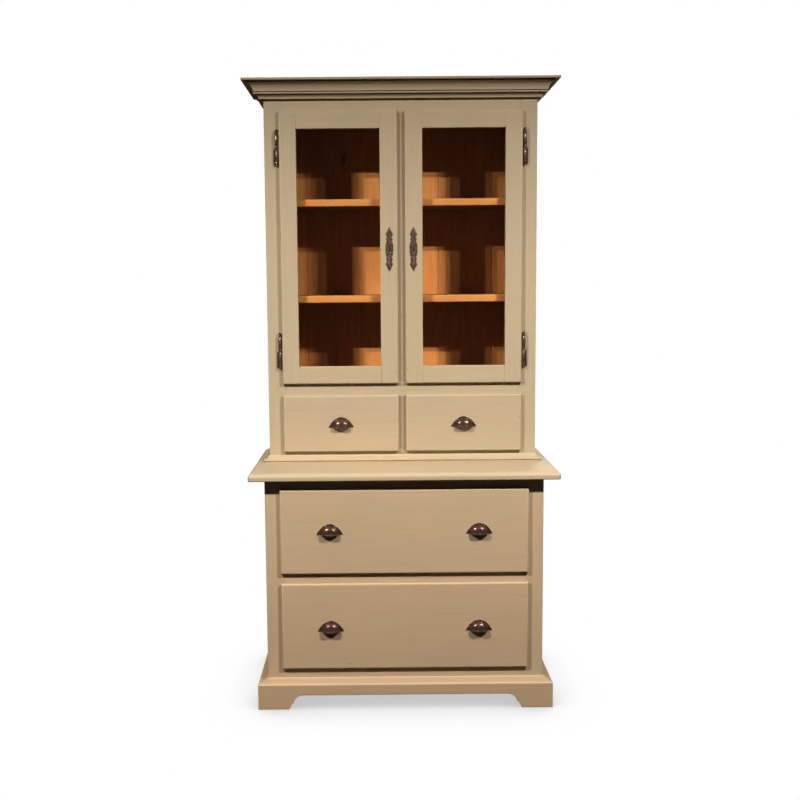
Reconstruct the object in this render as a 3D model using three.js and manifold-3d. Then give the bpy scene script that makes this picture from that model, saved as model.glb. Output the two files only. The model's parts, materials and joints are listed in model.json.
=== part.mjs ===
// A two-part pantry cabinet in painted pine: a shallow glazed cupboard with two small drawers,
// standing on a deeper base with two wide drawers and a bracket-foot plinth.
// Millimetres, +Z up, front towards -Y. The origin is on the floor, under the middle of the cabinet.
import * as THREE from "three";
import { mergeVertices } from "three/addons/utils/BufferGeometryUtils.js";
import Module from "manifold-3d";

const wasm = await Module();
wasm.setup();

// Overall form.
const HALF_WIDTH = 461; // of both carcasses
const BACK = 250; // plane of both backs
const SLAB_FRONT = -242;
const BASE_FACE = -200; // front of the base's face frame
const TOP_FACE = -22; // front of the cupboard's face frame
const BOARD = 22; // thickness of carcass boards and face frames
const BACK_BOARD = 12;

// Heights from the floor.
const PLINTH_EDGE = 85;
const PLINTH_TOP = 98;
const APRON = 48;
const SLAB_LOW = 775;
const SLAB_TOP = 800;
const WAIST_TOP = 824;
const CORNICE_LOW = 2030;
const TOTAL_HEIGHT = 2092;
const CARCASS_TOP = 2070;

// How far the mouldings stand out from the carcass they run round.
const SLAB_OVERHANG = 50; // past each side; the front overhang follows from SLAB_FRONT
const PLINTH_PROJECTION = 31;
const WAIST_PROJECTION = 20;
const CORNICE_PROJECTION = 66;

// Doors and drawer fronts stand proud on a lip, and a thinner body enters the opening behind it.
const LIP = 9; // overlap on the frame
const TOP_PROUD = 14;
const BASE_PROUD = 13;
const BODY_DEPTH = 10; // how far the body enters the opening
const CLEARANCE = 1.5; // round the body, in the opening
const RUNNING = 0.5; // under and behind moving parts

// Fronts, measured over their lips.
const FRONT_OUTER = 411;
const FRONT_INNER = 12;
const DOOR_LOW = 1072;
const DOOR_TOP = 1992;
const DOOR_MEMBER = 58;
const DOOR_BOTTOM_RAIL = 61;
const DOOR_MEETING_STILE = 60;
const SMALL_DRAWER_LOW = 836;
const SMALL_DRAWER_TOP = 1032;
const WIDE_DRAWERS = [
  { name: "upper_wide_drawer", low: 457, top: 741, boxTop: 715, pullHeight: 610 },
  { name: "lower_wide_drawer", low: 132, top: 423, boxTop: 395, pullHeight: 281 },
];
const WIDE_PULL_OFFSET = 247;
const SMALL_PULL_HEIGHT = 940;
const SMALL_BOX_TOP = 1010;

// Shelves.
const SHELF_FRONT = 2;
const SHELVES = [
  { name: "shelf_upper", low: 1679, top: 1703 },
  { name: "shelf_lower", low: 1350, top: 1375 },
];

// Metalwork.
const HINGE_HEIGHTS = { lower: 1187, upper: 1872 };
const HINGE_LENGTH = 126;
const KNUCKLE_RADIUS = 5.5;
const PIN_RADIUS = 3;
const PIN_CLEARANCE = 0.08;
const HINGE_X = 419;
const HINGE_Y = -29.5;
const LEAF = 1.2;
const ESCUTCHEON = { height: 1531, x: 41, halfLength: 75, halfWidth: 13, thickness: 1.5 };
const PULL = { halfWidth: 44, height: 38, depth: 21, wall: 1.6, plate: 1.6 };

// Glass.
const GLASS_THICKNESS = 3;
const GLASS_BITE = 7; // how far the pane enters its rebate

const material = (color, roughness, metalness = 0) =>
  new THREE.MeshStandardMaterial({ color, roughness, metalness });
const paint = () => material(0xbda37e, 0.55);
const bareWood = () => material(0xb5702f, 0.6);
const darkMetal = () => material(0x4a332b, 0.45, 0.8);
const clearGlass = () => {
  const glass = material(0xeef4f2, 0.05);
  glass.transparent = true;
  glass.opacity = 0.3;
  return glass;
};

const cabinet = new THREE.Group();

/** Adds a mesh under its own name. */
function add(name, geometry, finish) {
  const mesh = new THREE.Mesh(geometry, finish);
  mesh.name = name;
  cabinet.add(mesh);
  return mesh;
}

/** A box between two values on each axis. */
function box([x0, x1], [y0, y1], [z0, z1]) {
  const geometry = new THREE.BoxGeometry(x1 - x0, y1 - y0, z1 - z0);
  geometry.translate((x0 + x1) / 2, (y0 + y1) / 2, (z0 + z1) / 2);
  return geometry;
}

/** A closed three.js geometry as a manifold solid. */
function solid(geometry) {
  const bare = geometry.clone();
  bare.deleteAttribute("normal");
  bare.deleteAttribute("uv");
  const merged = mergeVertices(bare, 1e-4);
  return new wasm.Manifold(
    new wasm.Mesh({
      numProp: 3,
      vertProperties: new Float32Array(merged.attributes.position.array),
      triVerts: new Uint32Array(merged.index.array),
    }),
  );
}

/** A manifold solid as a three.js geometry. */
function geometryOf(made) {
  const mesh = made.getMesh();
  const geometry = new THREE.BufferGeometry();
  geometry.setAttribute("position", new THREE.BufferAttribute(mesh.vertProperties, 3));
  geometry.setIndex(new THREE.BufferAttribute(mesh.triVerts, 1));
  geometry.computeVertexNormals();
  return geometry;
}

/** Joins closed geometries into one. */
function join(...parts) {
  return geometryOf(parts.map(solid).reduce((whole, part) => whole.add(part)));
}

/** Cuts closed geometries out of the first one. */
function cut(whole, ...tools) {
  return geometryOf(tools.map(solid).reduce((left, tool) => left.subtract(tool), solid(whole)));
}

/** A flat outline of [x, y] corners pushed along +Z by a length. */
function prism(points, length, curveSegments = 6) {
  const outline = () => new THREE.Shape(points.map((p) => new THREE.Vector2(...p)));
  const shape = points instanceof THREE.Shape ? points : outline();
  return new THREE.ExtrudeGeometry(shape, { depth: length, bevelEnabled: false, curveSegments });
}

/** An outline in the plane of Y (first) and Z (second), pushed along X from x0 to x1. */
function prismAlongX(points, x0, x1) {
  const geometry = prism(points, x1 - x0);
  geometry.rotateZ(Math.PI / 2);
  geometry.rotateY(Math.PI / 2);
  geometry.translate(x0, 0, 0);
  return geometry;
}

/** An outline in the plane of X (first) and Z (second), pushed along Y from y0 to y1. */
function prismAlongY(points, y0, y1) {
  const geometry = prism(points, y1 - y0);
  geometry.rotateX(Math.PI / 2);
  geometry.translate(0, y1, 0);
  return geometry;
}

/** Points of an elliptical arc, angles in degrees, both ends included. */
function arc(cx, cy, rx, ry, from, to, steps = 5) {
  return Array.from({ length: steps + 1 }, (_, i) => {
    const angle = THREE.MathUtils.degToRad(from + ((to - from) * i) / steps);
    return [cx + rx * Math.cos(angle), cy + ry * Math.sin(angle)];
  });
}

/**
 * A solid whose front and two sides carry the same moulded profile, mitred at both front corners.
 * The profile is a list of [projection, height] from the bottom up.
 */
function mouldedBlock(profile, face) {
  const low = profile[0][1];
  const top = profile[profile.length - 1][1];
  const frontOutline = [[BACK, low], ...profile.map(([out, z]) => [face - out, z]), [BACK, top]];
  const sideOutline = [
    ...profile.map(([out, z]) => [HALF_WIDTH + out, z]),
    ...profile.map(([out, z]) => [-HALF_WIDTH - out, z]).reverse(),
  ];
  const front = solid(prismAlongX(frontOutline.reverse(), -700, 700));
  const sides = solid(prismAlongY(sideOutline, -400, BACK));
  return front.intersect(sides);
}

/** The moulded block without the carcass that it runs round. */
function mouldingRound(profile, face) {
  const inside = box([-HALF_WIDTH, HALF_WIDTH], [face, BACK + 50], [-50, TOTAL_HEIGHT + 50]);
  return geometryOf(mouldedBlock(profile, face).subtract(solid(inside)));
}

/** Both sides of the cabinet, as a name and a sign on X. */
const SIDES = [
  { side: "left", sign: -1 },
  { side: "right", sign: 1 },
];

/** A range on X, mirrored for the left-hand side. */
function mirrored(sign, near, far) {
  return sign > 0 ? [near, far] : [-far, -near];
}

// Openings in the face frames, worked out from the lips of the fronts.
const OPENING_OUTER = FRONT_OUTER - LIP + CLEARANCE;
const OPENING_INNER = FRONT_INNER + LIP - CLEARANCE;
const openingLow = (low) => low + LIP - CLEARANCE;
const openingTop = (top) => top - LIP + CLEARANCE;
const INSIDE = HALF_WIDTH - BOARD;
const INNER_BACK = BACK - BACK_BOARD;
const UPPER_FRAME = [TOP_FACE, TOP_FACE + BOARD];
const LOWER_FRAME = [BASE_FACE, BASE_FACE + BOARD];

function addUpperCarcass() {
  const behindFrame = [UPPER_FRAME[1], BACK];
  const boards = [UPPER_FRAME[1], INNER_BACK];
  const drawerFloor = openingLow(SMALL_DRAWER_LOW);
  const deckTop = openingLow(DOOR_LOW);
  SIDES.forEach(({ side, sign }) => {
    const board = mirrored(sign, INSIDE, HALF_WIDTH);
    const stile = mirrored(sign, OPENING_OUTER, HALF_WIDTH);
    add(`upper_${side}_side`, box(board, behindFrame, [SLAB_TOP, CARCASS_TOP]), paint());
    add(`upper_${side}_stile`, box(stile, UPPER_FRAME, [SLAB_TOP, CARCASS_TOP]), paint());
  });
  const across = [-INSIDE, INSIDE];
  const between = [-OPENING_OUTER, OPENING_OUTER];
  add("upper_top_board", box(across, boards, [CARCASS_TOP - BOARD, CARCASS_TOP]), paint());
  add("cupboard_floor", box(across, boards, [deckTop - BOARD, deckTop]), bareWood());
  add("upper_bottom_board", box(across, boards, [drawerFloor - BOARD, drawerFloor]), bareWood());
  add("upper_back_panel", box(across, [INNER_BACK, BACK], [SLAB_TOP, CARCASS_TOP]), bareWood());
  add("upper_top_rail", box(between, UPPER_FRAME, [openingTop(DOOR_TOP), CARCASS_TOP]), paint());
  add("upper_mid_rail", box(between, UPPER_FRAME, [openingTop(SMALL_DRAWER_TOP), deckTop]), paint());
  add("upper_bottom_rail", box(between, UPPER_FRAME, [SLAB_TOP, drawerFloor]), paint());
  const post = [-OPENING_INNER, OPENING_INNER];
  add("door_post", box(post, UPPER_FRAME, [deckTop, openingTop(DOOR_TOP)]), paint());
  add("drawer_post", box(post, UPPER_FRAME, [drawerFloor, openingTop(SMALL_DRAWER_TOP)]), paint());
  add("drawer_divider", box([-9, 9], boards, [drawerFloor, deckTop - BOARD]), bareWood());
  SHELVES.forEach(({ name, low, top }) => {
    add(name, box(across, [SHELF_FRONT, INNER_BACK], [low, top]), bareWood());
  });
}

function addMouldings() {
  const top = TOTAL_HEIGHT;
  const low = CORNICE_LOW;
  // From the bottom: a small cove, a fillet between two quirks, a splayed cove, a quirk and the crown.
  const cornice = [
    [3, low],
    [3, low + 2.5],
    [14, low + 2.5],
    [14, low + 4],
    [17, low + 9],
    [23, low + 13.3],
    [21, low + 13.3],
    [21, low + 16.5],
    [29, low + 16.5],
    [29, low + 21.8],
    [26, low + 21.8],
    [26, low + 24.5],
    [31, low + 24.5],
    [35, low + 31.5],
    [41.5, low + 38.5],
    [48.5, low + 44.7],
    [56, low + 50.3],
    [52, low + 50.3],
    [52, low + 53.5],
    [CORNICE_PROJECTION, low + 53.5],
    [CORNICE_PROJECTION, top],
  ];
  add("cornice", mouldingRound(cornice, TOP_FACE), paint());

  // From the slab up: a set-back foot, a fillet, a round nose and a flat slope back to the frame.
  const waist = [
    [WAIST_PROJECTION - 2, SLAB_TOP],
    [WAIST_PROJECTION - 2, SLAB_TOP + 4],
    ...arc(WAIST_PROJECTION - 4, SLAB_TOP + 8, 4, 4, -60, 70, 4),
    [5, WAIST_TOP - 3],
    [3, WAIST_TOP],
  ];
  add("waist_moulding", mouldingRound(waist, TOP_FACE), paint());

  // The slab's edge: a round lower arris, a flat, a thumbnail round and a small step below the top.
  const slab = [
    ...arc(SLAB_OVERHANG - 4, SLAB_LOW + 4, 4, 4, -90, 0, 3),
    ...arc(SLAB_OVERHANG - 12, SLAB_TOP - 14, 12, 12, 0, 90, 6),
    [SLAB_OVERHANG - 14, SLAB_TOP - 2],
    [SLAB_OVERHANG - 14, SLAB_TOP],
  ];
  add("table_top", geometryOf(mouldedBlock(slab, SLAB_FRONT + SLAB_OVERHANG)), paint());
}

function addLowerCarcass() {
  const behindFrame = [LOWER_FRAME[1], BACK];
  const boards = [LOWER_FRAME[1], INNER_BACK];
  const [upper, lower] = WIDE_DRAWERS;
  const carcassLow = 60;
  SIDES.forEach(({ side, sign }) => {
    const board = mirrored(sign, INSIDE, HALF_WIDTH);
    const stile = mirrored(sign, OPENING_OUTER, HALF_WIDTH);
    add(`lower_${side}_side`, box(board, behindFrame, [carcassLow, SLAB_LOW]), paint());
    add(`lower_${side}_stile`, box(stile, LOWER_FRAME, [carcassLow, SLAB_LOW]), paint());
    const runnerTop = openingLow(upper.low);
    const runner = mirrored(sign, 370, INSIDE);
    add(`drawer_runner_${side}`, box(runner, boards, [runnerTop - BOARD, runnerTop]), bareWood());
  });
  const across = [-INSIDE, INSIDE];
  const between = [-OPENING_OUTER, OPENING_OUTER];
  const floor = openingLow(lower.low);
  add("lower_back_panel", box(across, [INNER_BACK, BACK], [carcassLow, SLAB_LOW]), bareWood());
  add("lower_bottom_board", box(across, boards, [floor - BOARD, floor]), bareWood());
  add("lower_top_rail", box(between, LOWER_FRAME, [openingTop(upper.top), SLAB_LOW]), paint());
  const midRail = [openingTop(lower.top), openingLow(upper.low)];
  add("lower_mid_rail", box(between, LOWER_FRAME, midRail), paint());
  add("lower_bottom_rail", box(between, LOWER_FRAME, [carcassLow, floor]), paint());
}

/** The outline below the apron: two bracket feet with a slanted toe, a small notch and a rising curve. */
function underApron(half, footWidth) {
  const toe = half - footWidth;
  const rise = arc(toe - 52, 20, 36, APRON - 20, 0, 90, 5);
  const right = [[toe, -1], [toe - 12, 20], ...rise];
  const left = right.map(([u, z]) => [-u, z]).reverse();
  return [...right, ...left];
}

function addPlinth() {
  const profile = [
    [PLINTH_PROJECTION, 0],
    [PLINTH_PROJECTION, PLINTH_EDGE - 2],
    [PLINTH_PROJECTION - 2, PLINTH_EDGE],
    [2, PLINTH_TOP],
  ];
  const ring = solid(mouldingRound(profile, BASE_FACE));
  const half = HALF_WIDTH + PLINTH_PROJECTION;
  const halfDepth = (BACK - BASE_FACE + PLINTH_PROJECTION) / 2;
  const middle = BACK - halfDepth;
  const frontGap = prismAlongY(underApron(half, 102), -400, BASE_FACE + 40);
  const sideGap = prismAlongX(underApron(halfDepth, 102), -700, 700);
  sideGap.translate(0, middle, 0);
  add("plinth", geometryOf(ring.subtract(solid(frontGap)).subtract(solid(sideGap))), paint());
}

/** A front with a lip over the frame and a thinner body behind it. */
function lippedPanel([x0, x1], face, proud, [z0, z1]) {
  const chamfer = 4;
  const front = face - proud;
  const inset = (by, depth) => box([x0 + by, x1 - by], depth, [z0 + by, z1 - by]);
  const lip = inset(0, [front + chamfer, face - 0.3]);
  const field = inset(chamfer, [front, front + chamfer]);
  const body = inset(LIP, [face - 0.3, face + BODY_DEPTH]);
  return join(lip, field, body);
}

function addDoors() {
  const front = TOP_FACE - TOP_PROUD;
  const low = DOOR_LOW + DOOR_BOTTOM_RAIL;
  const top = DOOR_TOP - DOOR_MEMBER;
  const backPlane = TOP_FACE + BODY_DEPTH;
  const paneBack = backPlane - 4;
  SIDES.forEach(({ side, sign }) => {
    const width = mirrored(sign, FRONT_INNER, FRONT_OUTER);
    const panel = lippedPanel(width, TOP_FACE, TOP_PROUD, [DOOR_LOW, DOOR_TOP]);
    const sight = mirrored(sign, FRONT_INNER + DOOR_MEETING_STILE, FRONT_OUTER - DOOR_MEMBER);
    const hole = box(sight, [front - 5, backPlane + 5], [low, top]);
    const pane = [
      [sight[0] - GLASS_BITE, sight[1] + GLASS_BITE],
      [paneBack - GLASS_THICKNESS, paneBack],
      [low - GLASS_BITE, top + GLASS_BITE],
    ];
    const [px, py, pz] = pane;
    const around = ([near, far]) => [near - 1, far + 1];
    const rebate = box(around(px), [py[0], backPlane + 5], around(pz));
    add(`${side}_door_frame`, cut(panel, hole, rebate), paint());
    add(`${side}_door_glass`, box(...pane), clearGlass());
    addEscutcheon(side, sign * ESCUTCHEON.x, front);
  });
}

/** A long lock plate: a round middle, waisted arms and a pointed finial at each end, with a keyhole. */
function addEscutcheon(side, x, front) {
  const { halfLength, halfWidth, thickness, height } = ESCUTCHEON;
  // Shares of the half width and half length, from the tip down to the middle.
  const lobes = [
    [0.18, 0.93],
    [0.5, 0.84],
    [0.78, 0.72],
    [0.46, 0.62],
    [0.62, 0.5],
    [0.94, 0.38],
    [0.7, 0.24],
    [1, 0.1],
  ].map(([u, v]) => [u * halfWidth, v * halfLength]);
  const upright = [...lobes, ...lobes.map(([u, v]) => [u, -v]).reverse()];
  const opposite = upright.map(([u, v]) => [-u, -v]);
  const outline = [[0, halfLength], ...upright, [0, -halfLength], ...opposite];
  const shape = new THREE.Shape(outline.reverse().map((p) => new THREE.Vector2(...p)));
  const keyhole = new THREE.Path();
  keyhole.absarc(0, 3, 3, -0.25 * Math.PI, 1.25 * Math.PI);
  keyhole.lineTo(-1.6, -8);
  keyhole.lineTo(1.6, -8);
  keyhole.closePath();
  shape.holes.push(keyhole);
  const geometry = prismAlongY(shape, front - thickness, front);
  geometry.translate(x, 0, height);
  add(`${side}_escutcheon`, geometry, darkMetal());
}

/** A round rod along Z. */
function rod(radius, low, high, segments = 24) {
  const geometry = new THREE.CylinderGeometry(radius, radius, high - low, segments);
  geometry.rotateX(Math.PI / 2);
  geometry.translate(0, 0, (low + high) / 2);
  return geometry;
}

/** A pin hinge: the frame's knuckle carries the pin, and the door's knuckle turns on it. */
function addHinges() {
  const half = HINGE_LENGTH / 2;
  const pinTop = half - 6;
  const gap = 0.4;
  const segments = 24;
  const bore = (PIN_RADIUS + PIN_CLEARANCE) / Math.cos(Math.PI / segments);
  SIDES.forEach(({ side, sign }) => {
    Object.entries(HINGE_HEIGHTS).forEach(([level, height]) => {
      const leafBack = TOP_FACE - HINGE_Y;
      const frameLeaf = box(mirrored(sign, 0, 11), [leafBack - LEAF, leafBack], [-half + 4, -4]);
      const neck = box([-2, 2], [0, leafBack], [-half + 4, -4]);
      const barrel = rod(KNUCKLE_RADIUS, -half, -gap);
      const frameHalf = join(barrel, rod(PIN_RADIUS, -gap - 1, pinTop), frameLeaf, neck);
      const edge = HINGE_X - FRONT_OUTER;
      const doorLeaf = box(mirrored(-sign, 4.5, edge), [-2.5, 4], [4, half - 4]);
      const knuckle = cut(rod(KNUCKLE_RADIUS, 0, half), rod(bore, -1, pinTop + 1));
      const doorHalf = join(knuckle, doorLeaf);
      [
        ["frame", frameHalf],
        ["door", doorHalf],
      ].forEach(([part, geometry]) => {
        const mesh = add(`${side}_${level}_hinge_${part}`, geometry, darkMetal());
        mesh.position.set(sign * HINGE_X, HINGE_Y, height);
      });
    });
  });
}

/**
 * A cup pull: a quarter-dome shell, open below, on a flat plate.
 * Its origin is the bottom of the plate's back, at mid width.
 */
function cupPull() {
  const { halfWidth, height, depth, wall, plate } = PULL;
  const domeHalf = halfWidth - 9;
  const domeHeight = height - 5;
  const dome = (inset) => {
    const sphere = new THREE.SphereGeometry(1, 24, 12);
    sphere.scale(domeHalf - inset, depth - inset, domeHeight - inset);
    sphere.rotateZ(Math.PI);
    return solid(sphere);
  };
  const quarter = solid(box([-halfWidth, halfWidth], [-depth - 5, 0], [0, height + 5]));
  const shell = dome(0).subtract(dome(wall)).intersect(quarter);
  const outline = new THREE.Shape();
  outline.moveTo(-halfWidth, 0);
  outline.lineTo(halfWidth, 0);
  outline.quadraticCurveTo(halfWidth, 14, domeHalf, 18);
  outline.quadraticCurveTo(domeHalf * 0.7, height, 0, height);
  outline.quadraticCurveTo(-domeHalf * 0.7, height, -domeHalf, 18);
  outline.quadraticCurveTo(-halfWidth, 14, -halfWidth, 0);
  const backPlate = solid(prismAlongY(outline, -plate, 0));
  return geometryOf(shell.add(backPlate));
}

function addPull(name, x, face, centreHeight) {
  const mesh = add(name, cupPull(), darkMetal());
  mesh.position.set(x, face, centreHeight - PULL.height / 2);
}

/** A drawer's sides, back and bottom as one tray, open at the front. */
function tray([x0, x1], [y0, y1], [z0, z1], wall, floor) {
  const hollow = box([x0 + wall, x1 - wall], [y0 - 1, y1 - wall], [z0 + floor, z1 + 1]);
  return cut(box([x0, x1], [y0, y1], [z0, z1]), hollow);
}

function addDrawers() {
  const smallFront = TOP_FACE - TOP_PROUD;
  const smallHeight = [SMALL_DRAWER_LOW, SMALL_DRAWER_TOP];
  SIDES.forEach(({ side, sign }) => {
    const name = `small_drawer_${side}`;
    const width = mirrored(sign, FRONT_INNER, FRONT_OUTER);
    const boxWidth = mirrored(sign, FRONT_INNER + LIP + 4, FRONT_OUTER - LIP - 4);
    const boxDepth = [TOP_FACE + BODY_DEPTH, INNER_BACK - 12];
    const boxHeight = [openingLow(SMALL_DRAWER_LOW) + RUNNING + 1, SMALL_BOX_TOP];
    add(`${name}_front`, lippedPanel(width, TOP_FACE, TOP_PROUD, smallHeight), paint());
    add(`${name}_box`, tray(boxWidth, boxDepth, boxHeight, 12, 8), bareWood());
    addPull(`${name}_pull`, (width[0] + width[1]) / 2, smallFront, SMALL_PULL_HEIGHT);
  });
  const wideFront = BASE_FACE - BASE_PROUD;
  WIDE_DRAWERS.forEach(({ name, low, top, boxTop, pullHeight }) => {
    const width = [-FRONT_OUTER, FRONT_OUTER];
    const boxWidth = [-FRONT_OUTER + LIP + 4, FRONT_OUTER - LIP - 4];
    const boxDepth = [BASE_FACE + BODY_DEPTH, INNER_BACK - 12];
    const boxHeight = [openingLow(low) + RUNNING + 1, boxTop];
    add(`${name}_front`, lippedPanel(width, BASE_FACE, BASE_PROUD, [low, top]), paint());
    add(`${name}_box`, tray(boxWidth, boxDepth, boxHeight, 14, 9), bareWood());
    SIDES.forEach(({ side, sign }) => {
      addPull(`${name}_pull_${side}`, sign * WIDE_PULL_OFFSET, wideFront, pullHeight);
    });
  });
}

addUpperCarcass();
addMouldings();
addLowerCarcass();
addPlinth();
addDoors();
addHinges();
addDrawers();

export default cabinet;
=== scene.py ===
"""The looks of a painted pine pantry cabinet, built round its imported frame.

Every length is in metres, in the frame's own axes: the front faces -Y, Z is up.
"""

import json
import logging
import math
from dataclasses import dataclass, field
from enum import Enum
from typing import Callable, Iterable, Sequence, Union

import bpy
import numpy as np
from mathutils import Matrix, Vector


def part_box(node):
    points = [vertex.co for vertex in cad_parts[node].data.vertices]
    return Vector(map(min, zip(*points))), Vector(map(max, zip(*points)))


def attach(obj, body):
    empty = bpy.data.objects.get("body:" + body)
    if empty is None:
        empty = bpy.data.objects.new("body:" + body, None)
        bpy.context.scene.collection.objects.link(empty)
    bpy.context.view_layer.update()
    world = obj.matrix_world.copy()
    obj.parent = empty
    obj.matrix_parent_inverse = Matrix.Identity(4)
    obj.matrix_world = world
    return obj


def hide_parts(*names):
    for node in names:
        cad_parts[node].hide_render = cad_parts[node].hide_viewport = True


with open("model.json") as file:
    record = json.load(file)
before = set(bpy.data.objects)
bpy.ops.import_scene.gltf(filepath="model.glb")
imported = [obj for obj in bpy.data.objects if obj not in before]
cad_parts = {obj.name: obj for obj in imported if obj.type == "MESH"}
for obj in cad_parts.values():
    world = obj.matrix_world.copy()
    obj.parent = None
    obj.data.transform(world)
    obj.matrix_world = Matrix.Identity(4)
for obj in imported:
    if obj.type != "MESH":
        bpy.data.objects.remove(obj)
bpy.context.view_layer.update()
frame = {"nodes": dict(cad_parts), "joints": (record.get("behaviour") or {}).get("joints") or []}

MM = 0.001
# How far wear spreads over the front of a block, and the gap between a lip and the face frame.
FACE_MARGIN = 2.2 * MM
CLEARANCE = 0.3 * MM
log = logging.getLogger("cabinet")

Colour = tuple[float, float, float]


class Grain(Enum):
    """The axis that a board's grain runs along."""

    ACROSS = 0
    DEEP = 1
    UP = 2


class Side(Enum):
    """A side of the cabinet, as the sign of its X."""

    LEFT = -1
    RIGHT = 1

    @property
    def word(self) -> str:
        """The side's name in lower case."""
        return self.name.lower()


# ---------------------------------------------------------------- surfaces


def arc(
    centre: Sequence[float], radii: Sequence[float], start: float, end: float, steps: int
) -> np.ndarray:
    """Points on an ellipse: centre plus radii times the cosine and sine of the angle.

    Args:
        centre: The ellipse's middle.
        radii: Its two radii.
        start: The first angle, in degrees.
        end: The last angle, in degrees.
        steps: How many equal steps lie between them.

    Returns:
        An array of steps + 1 rows of two numbers.
    """
    angle = np.radians(np.linspace(start, end, steps + 1))
    return np.column_stack(
        [centre[0] + radii[0] * np.cos(angle), centre[1] + radii[1] * np.sin(angle)]
    )


def chain(*runs: Sequence) -> np.ndarray:
    """Joins points and runs of points into one array of rows."""
    return np.vstack([np.atleast_2d(np.asarray(run, float)) for run in runs])


def grid(*parts: object) -> np.ndarray:
    """Rows of points from their coordinates, spread out to one shape."""
    return np.stack(np.broadcast_arrays(*parts), -1)


def strip_faces(rows: int, columns: int, joined: bool) -> np.ndarray:
    """Quads between neighbouring rings of a grid of points.

    Args:
        rows: The number of rings.
        columns: The number of points in each ring.
        joined: Whether the last ring meets the first one.

    Returns:
        An array of quads, as indexes of points.
    """
    row = np.arange(rows if joined else rows - 1)[:, None]
    column = np.arange(columns)[None, :]
    here, after = row * columns, (row + 1) % rows * columns
    beside = (column + 1) % columns
    return grid(here + column, here + beside, after + beside, after + column).reshape(-1, 4)


def feathered(
    profile: np.ndarray, wear: np.ndarray, reach: float
) -> tuple[np.ndarray, np.ndarray]:
    """Keeps the wear of a profile's arrises close to them.

    A point without wear is added a short way in from both ends of every long stretch, so that
    wear fades out there rather than over the whole stretch.

    Args:
        profile: Rows of coordinates along an open line.
        wear: The wear of each row.
        reach: How far the wear spreads.

    Returns:
        The longer profile, and the wear of its rows.
    """
    step = np.diff(profile, axis=0)
    length = np.hypot(*step.T)
    long = np.flatnonzero(length > 2.5 * reach)
    share = (reach / length[long])[:, None]
    near = profile[long] + step[long] * share
    far = profile[long + 1] - step[long] * share
    extra = np.stack([near, far], 1).reshape(-1, profile.shape[1])
    spots = np.repeat(long + 1, 2)
    return np.insert(profile, spots, extra, 0), np.insert(wear, spots, 0.0)


@dataclass
class Shell:
    """A closed surface: its points, its faces in blocks of equal corner counts, and its marks.

    Wear is how far a point lies on a worn arris, or below nought, how deep it lies in a
    corner, where its darkening is grime and painted shade. Tone shifts a board's colour.
    """

    points: np.ndarray
    faces: list[np.ndarray]
    wear: np.ndarray
    tone: np.ndarray

    @classmethod
    def loft(
        cls,
        rings: np.ndarray,
        wear: Union[np.ndarray, float] = 0.0,
        tone: float = 0.5,
        joined: bool = False,
    ) -> "Shell":
        """Joins rings of points into a closed surface.

        Args:
            rings: An array of ring, point in the ring, and coordinate.
            wear: One number for all points, or one for each ring and point.
            tone: The board's tone.
            joined: Whether the last ring meets the first. Otherwise both ends are capped.

        Returns:
            The surface, with its faces pointing outwards.
        """
        rows, columns = rings.shape[:2]
        faces = [strip_faces(rows, columns, joined)]
        if not joined:
            ring = np.arange(columns)
            faces.append(np.stack([ring[::-1], (rows - 1) * columns + ring]))
        spread = np.broadcast_to(np.asarray(wear, float), (rows, columns)).reshape(-1)
        points = rings.reshape(-1, 3)
        return cls(points, faces, spread, np.full(len(points), tone)).facing_out()

    def facing_out(self) -> "Shell":
        """Turns the faces outwards, by the sign of the volume that they enclose."""
        volume = 0.0
        for block in self.faces:
            corners = self.points[block]
            first, second, third = corners[:, :1], corners[:, 1:-1], corners[:, 2:]
            volume += float(np.sum(first * np.cross(second, third)))
        if volume < 0:
            self.faces = [block[:, ::-1] for block in self.faces]
        return self

    def moved(self, by: Sequence[float]) -> "Shell":
        """The same surface, carried by a vector."""
        return Shell(self.points + np.asarray(by, float), self.faces, self.wear, self.tone)

    def on(self, points: np.ndarray) -> "Shell":
        """The same faces and marks on other points, with the faces pointing outwards."""
        return Shell(points, list(self.faces), self.wear, self.tone).facing_out()

    def mirrored(self, axis: int = 0) -> "Shell":
        """The same surface on the other side of nought on an axis."""
        return self.on(self.points * np.where(np.arange(3) == axis, -1, 1))

    def facing_front(self) -> "Shell":
        """A surface built up along Z, turned so that it stands out towards -Y."""
        x, y, z = self.points.T
        return self.on(grid(x, -z, y))

    @staticmethod
    def together(shells: Iterable["Shell"]) -> "Shell":
        """Several surfaces as one, without joining them."""
        parts = list(shells)
        starts = np.cumsum([0] + [len(part.points) for part in parts])
        faces = [block + start for part, start in zip(parts, starts) for block in part.faces]
        return Shell(
            np.vstack([part.points for part in parts]),
            faces,
            np.concatenate([part.wear for part in parts]),
            np.concatenate([part.tone for part in parts]),
        )


@dataclass(frozen=True)
class Extent:
    """The lowest and highest corner of a box."""

    low: np.ndarray
    high: np.ndarray

    @classmethod
    def between(cls, first: Sequence[float], second: Sequence[float]) -> "Extent":
        """The box between two opposite corners."""
        return cls(*np.sort(np.array([first, second], float), 0))

    @classmethod
    def of(cls, node: str) -> "Extent":
        """The box of a node of the frame."""
        return cls.between(*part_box(node))

    @property
    def middle(self) -> np.ndarray:
        """The box's centre."""
        return (self.low + self.high) / 2

    @property
    def size(self) -> np.ndarray:
        """The box's three sides."""
        return self.high - self.low

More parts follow.
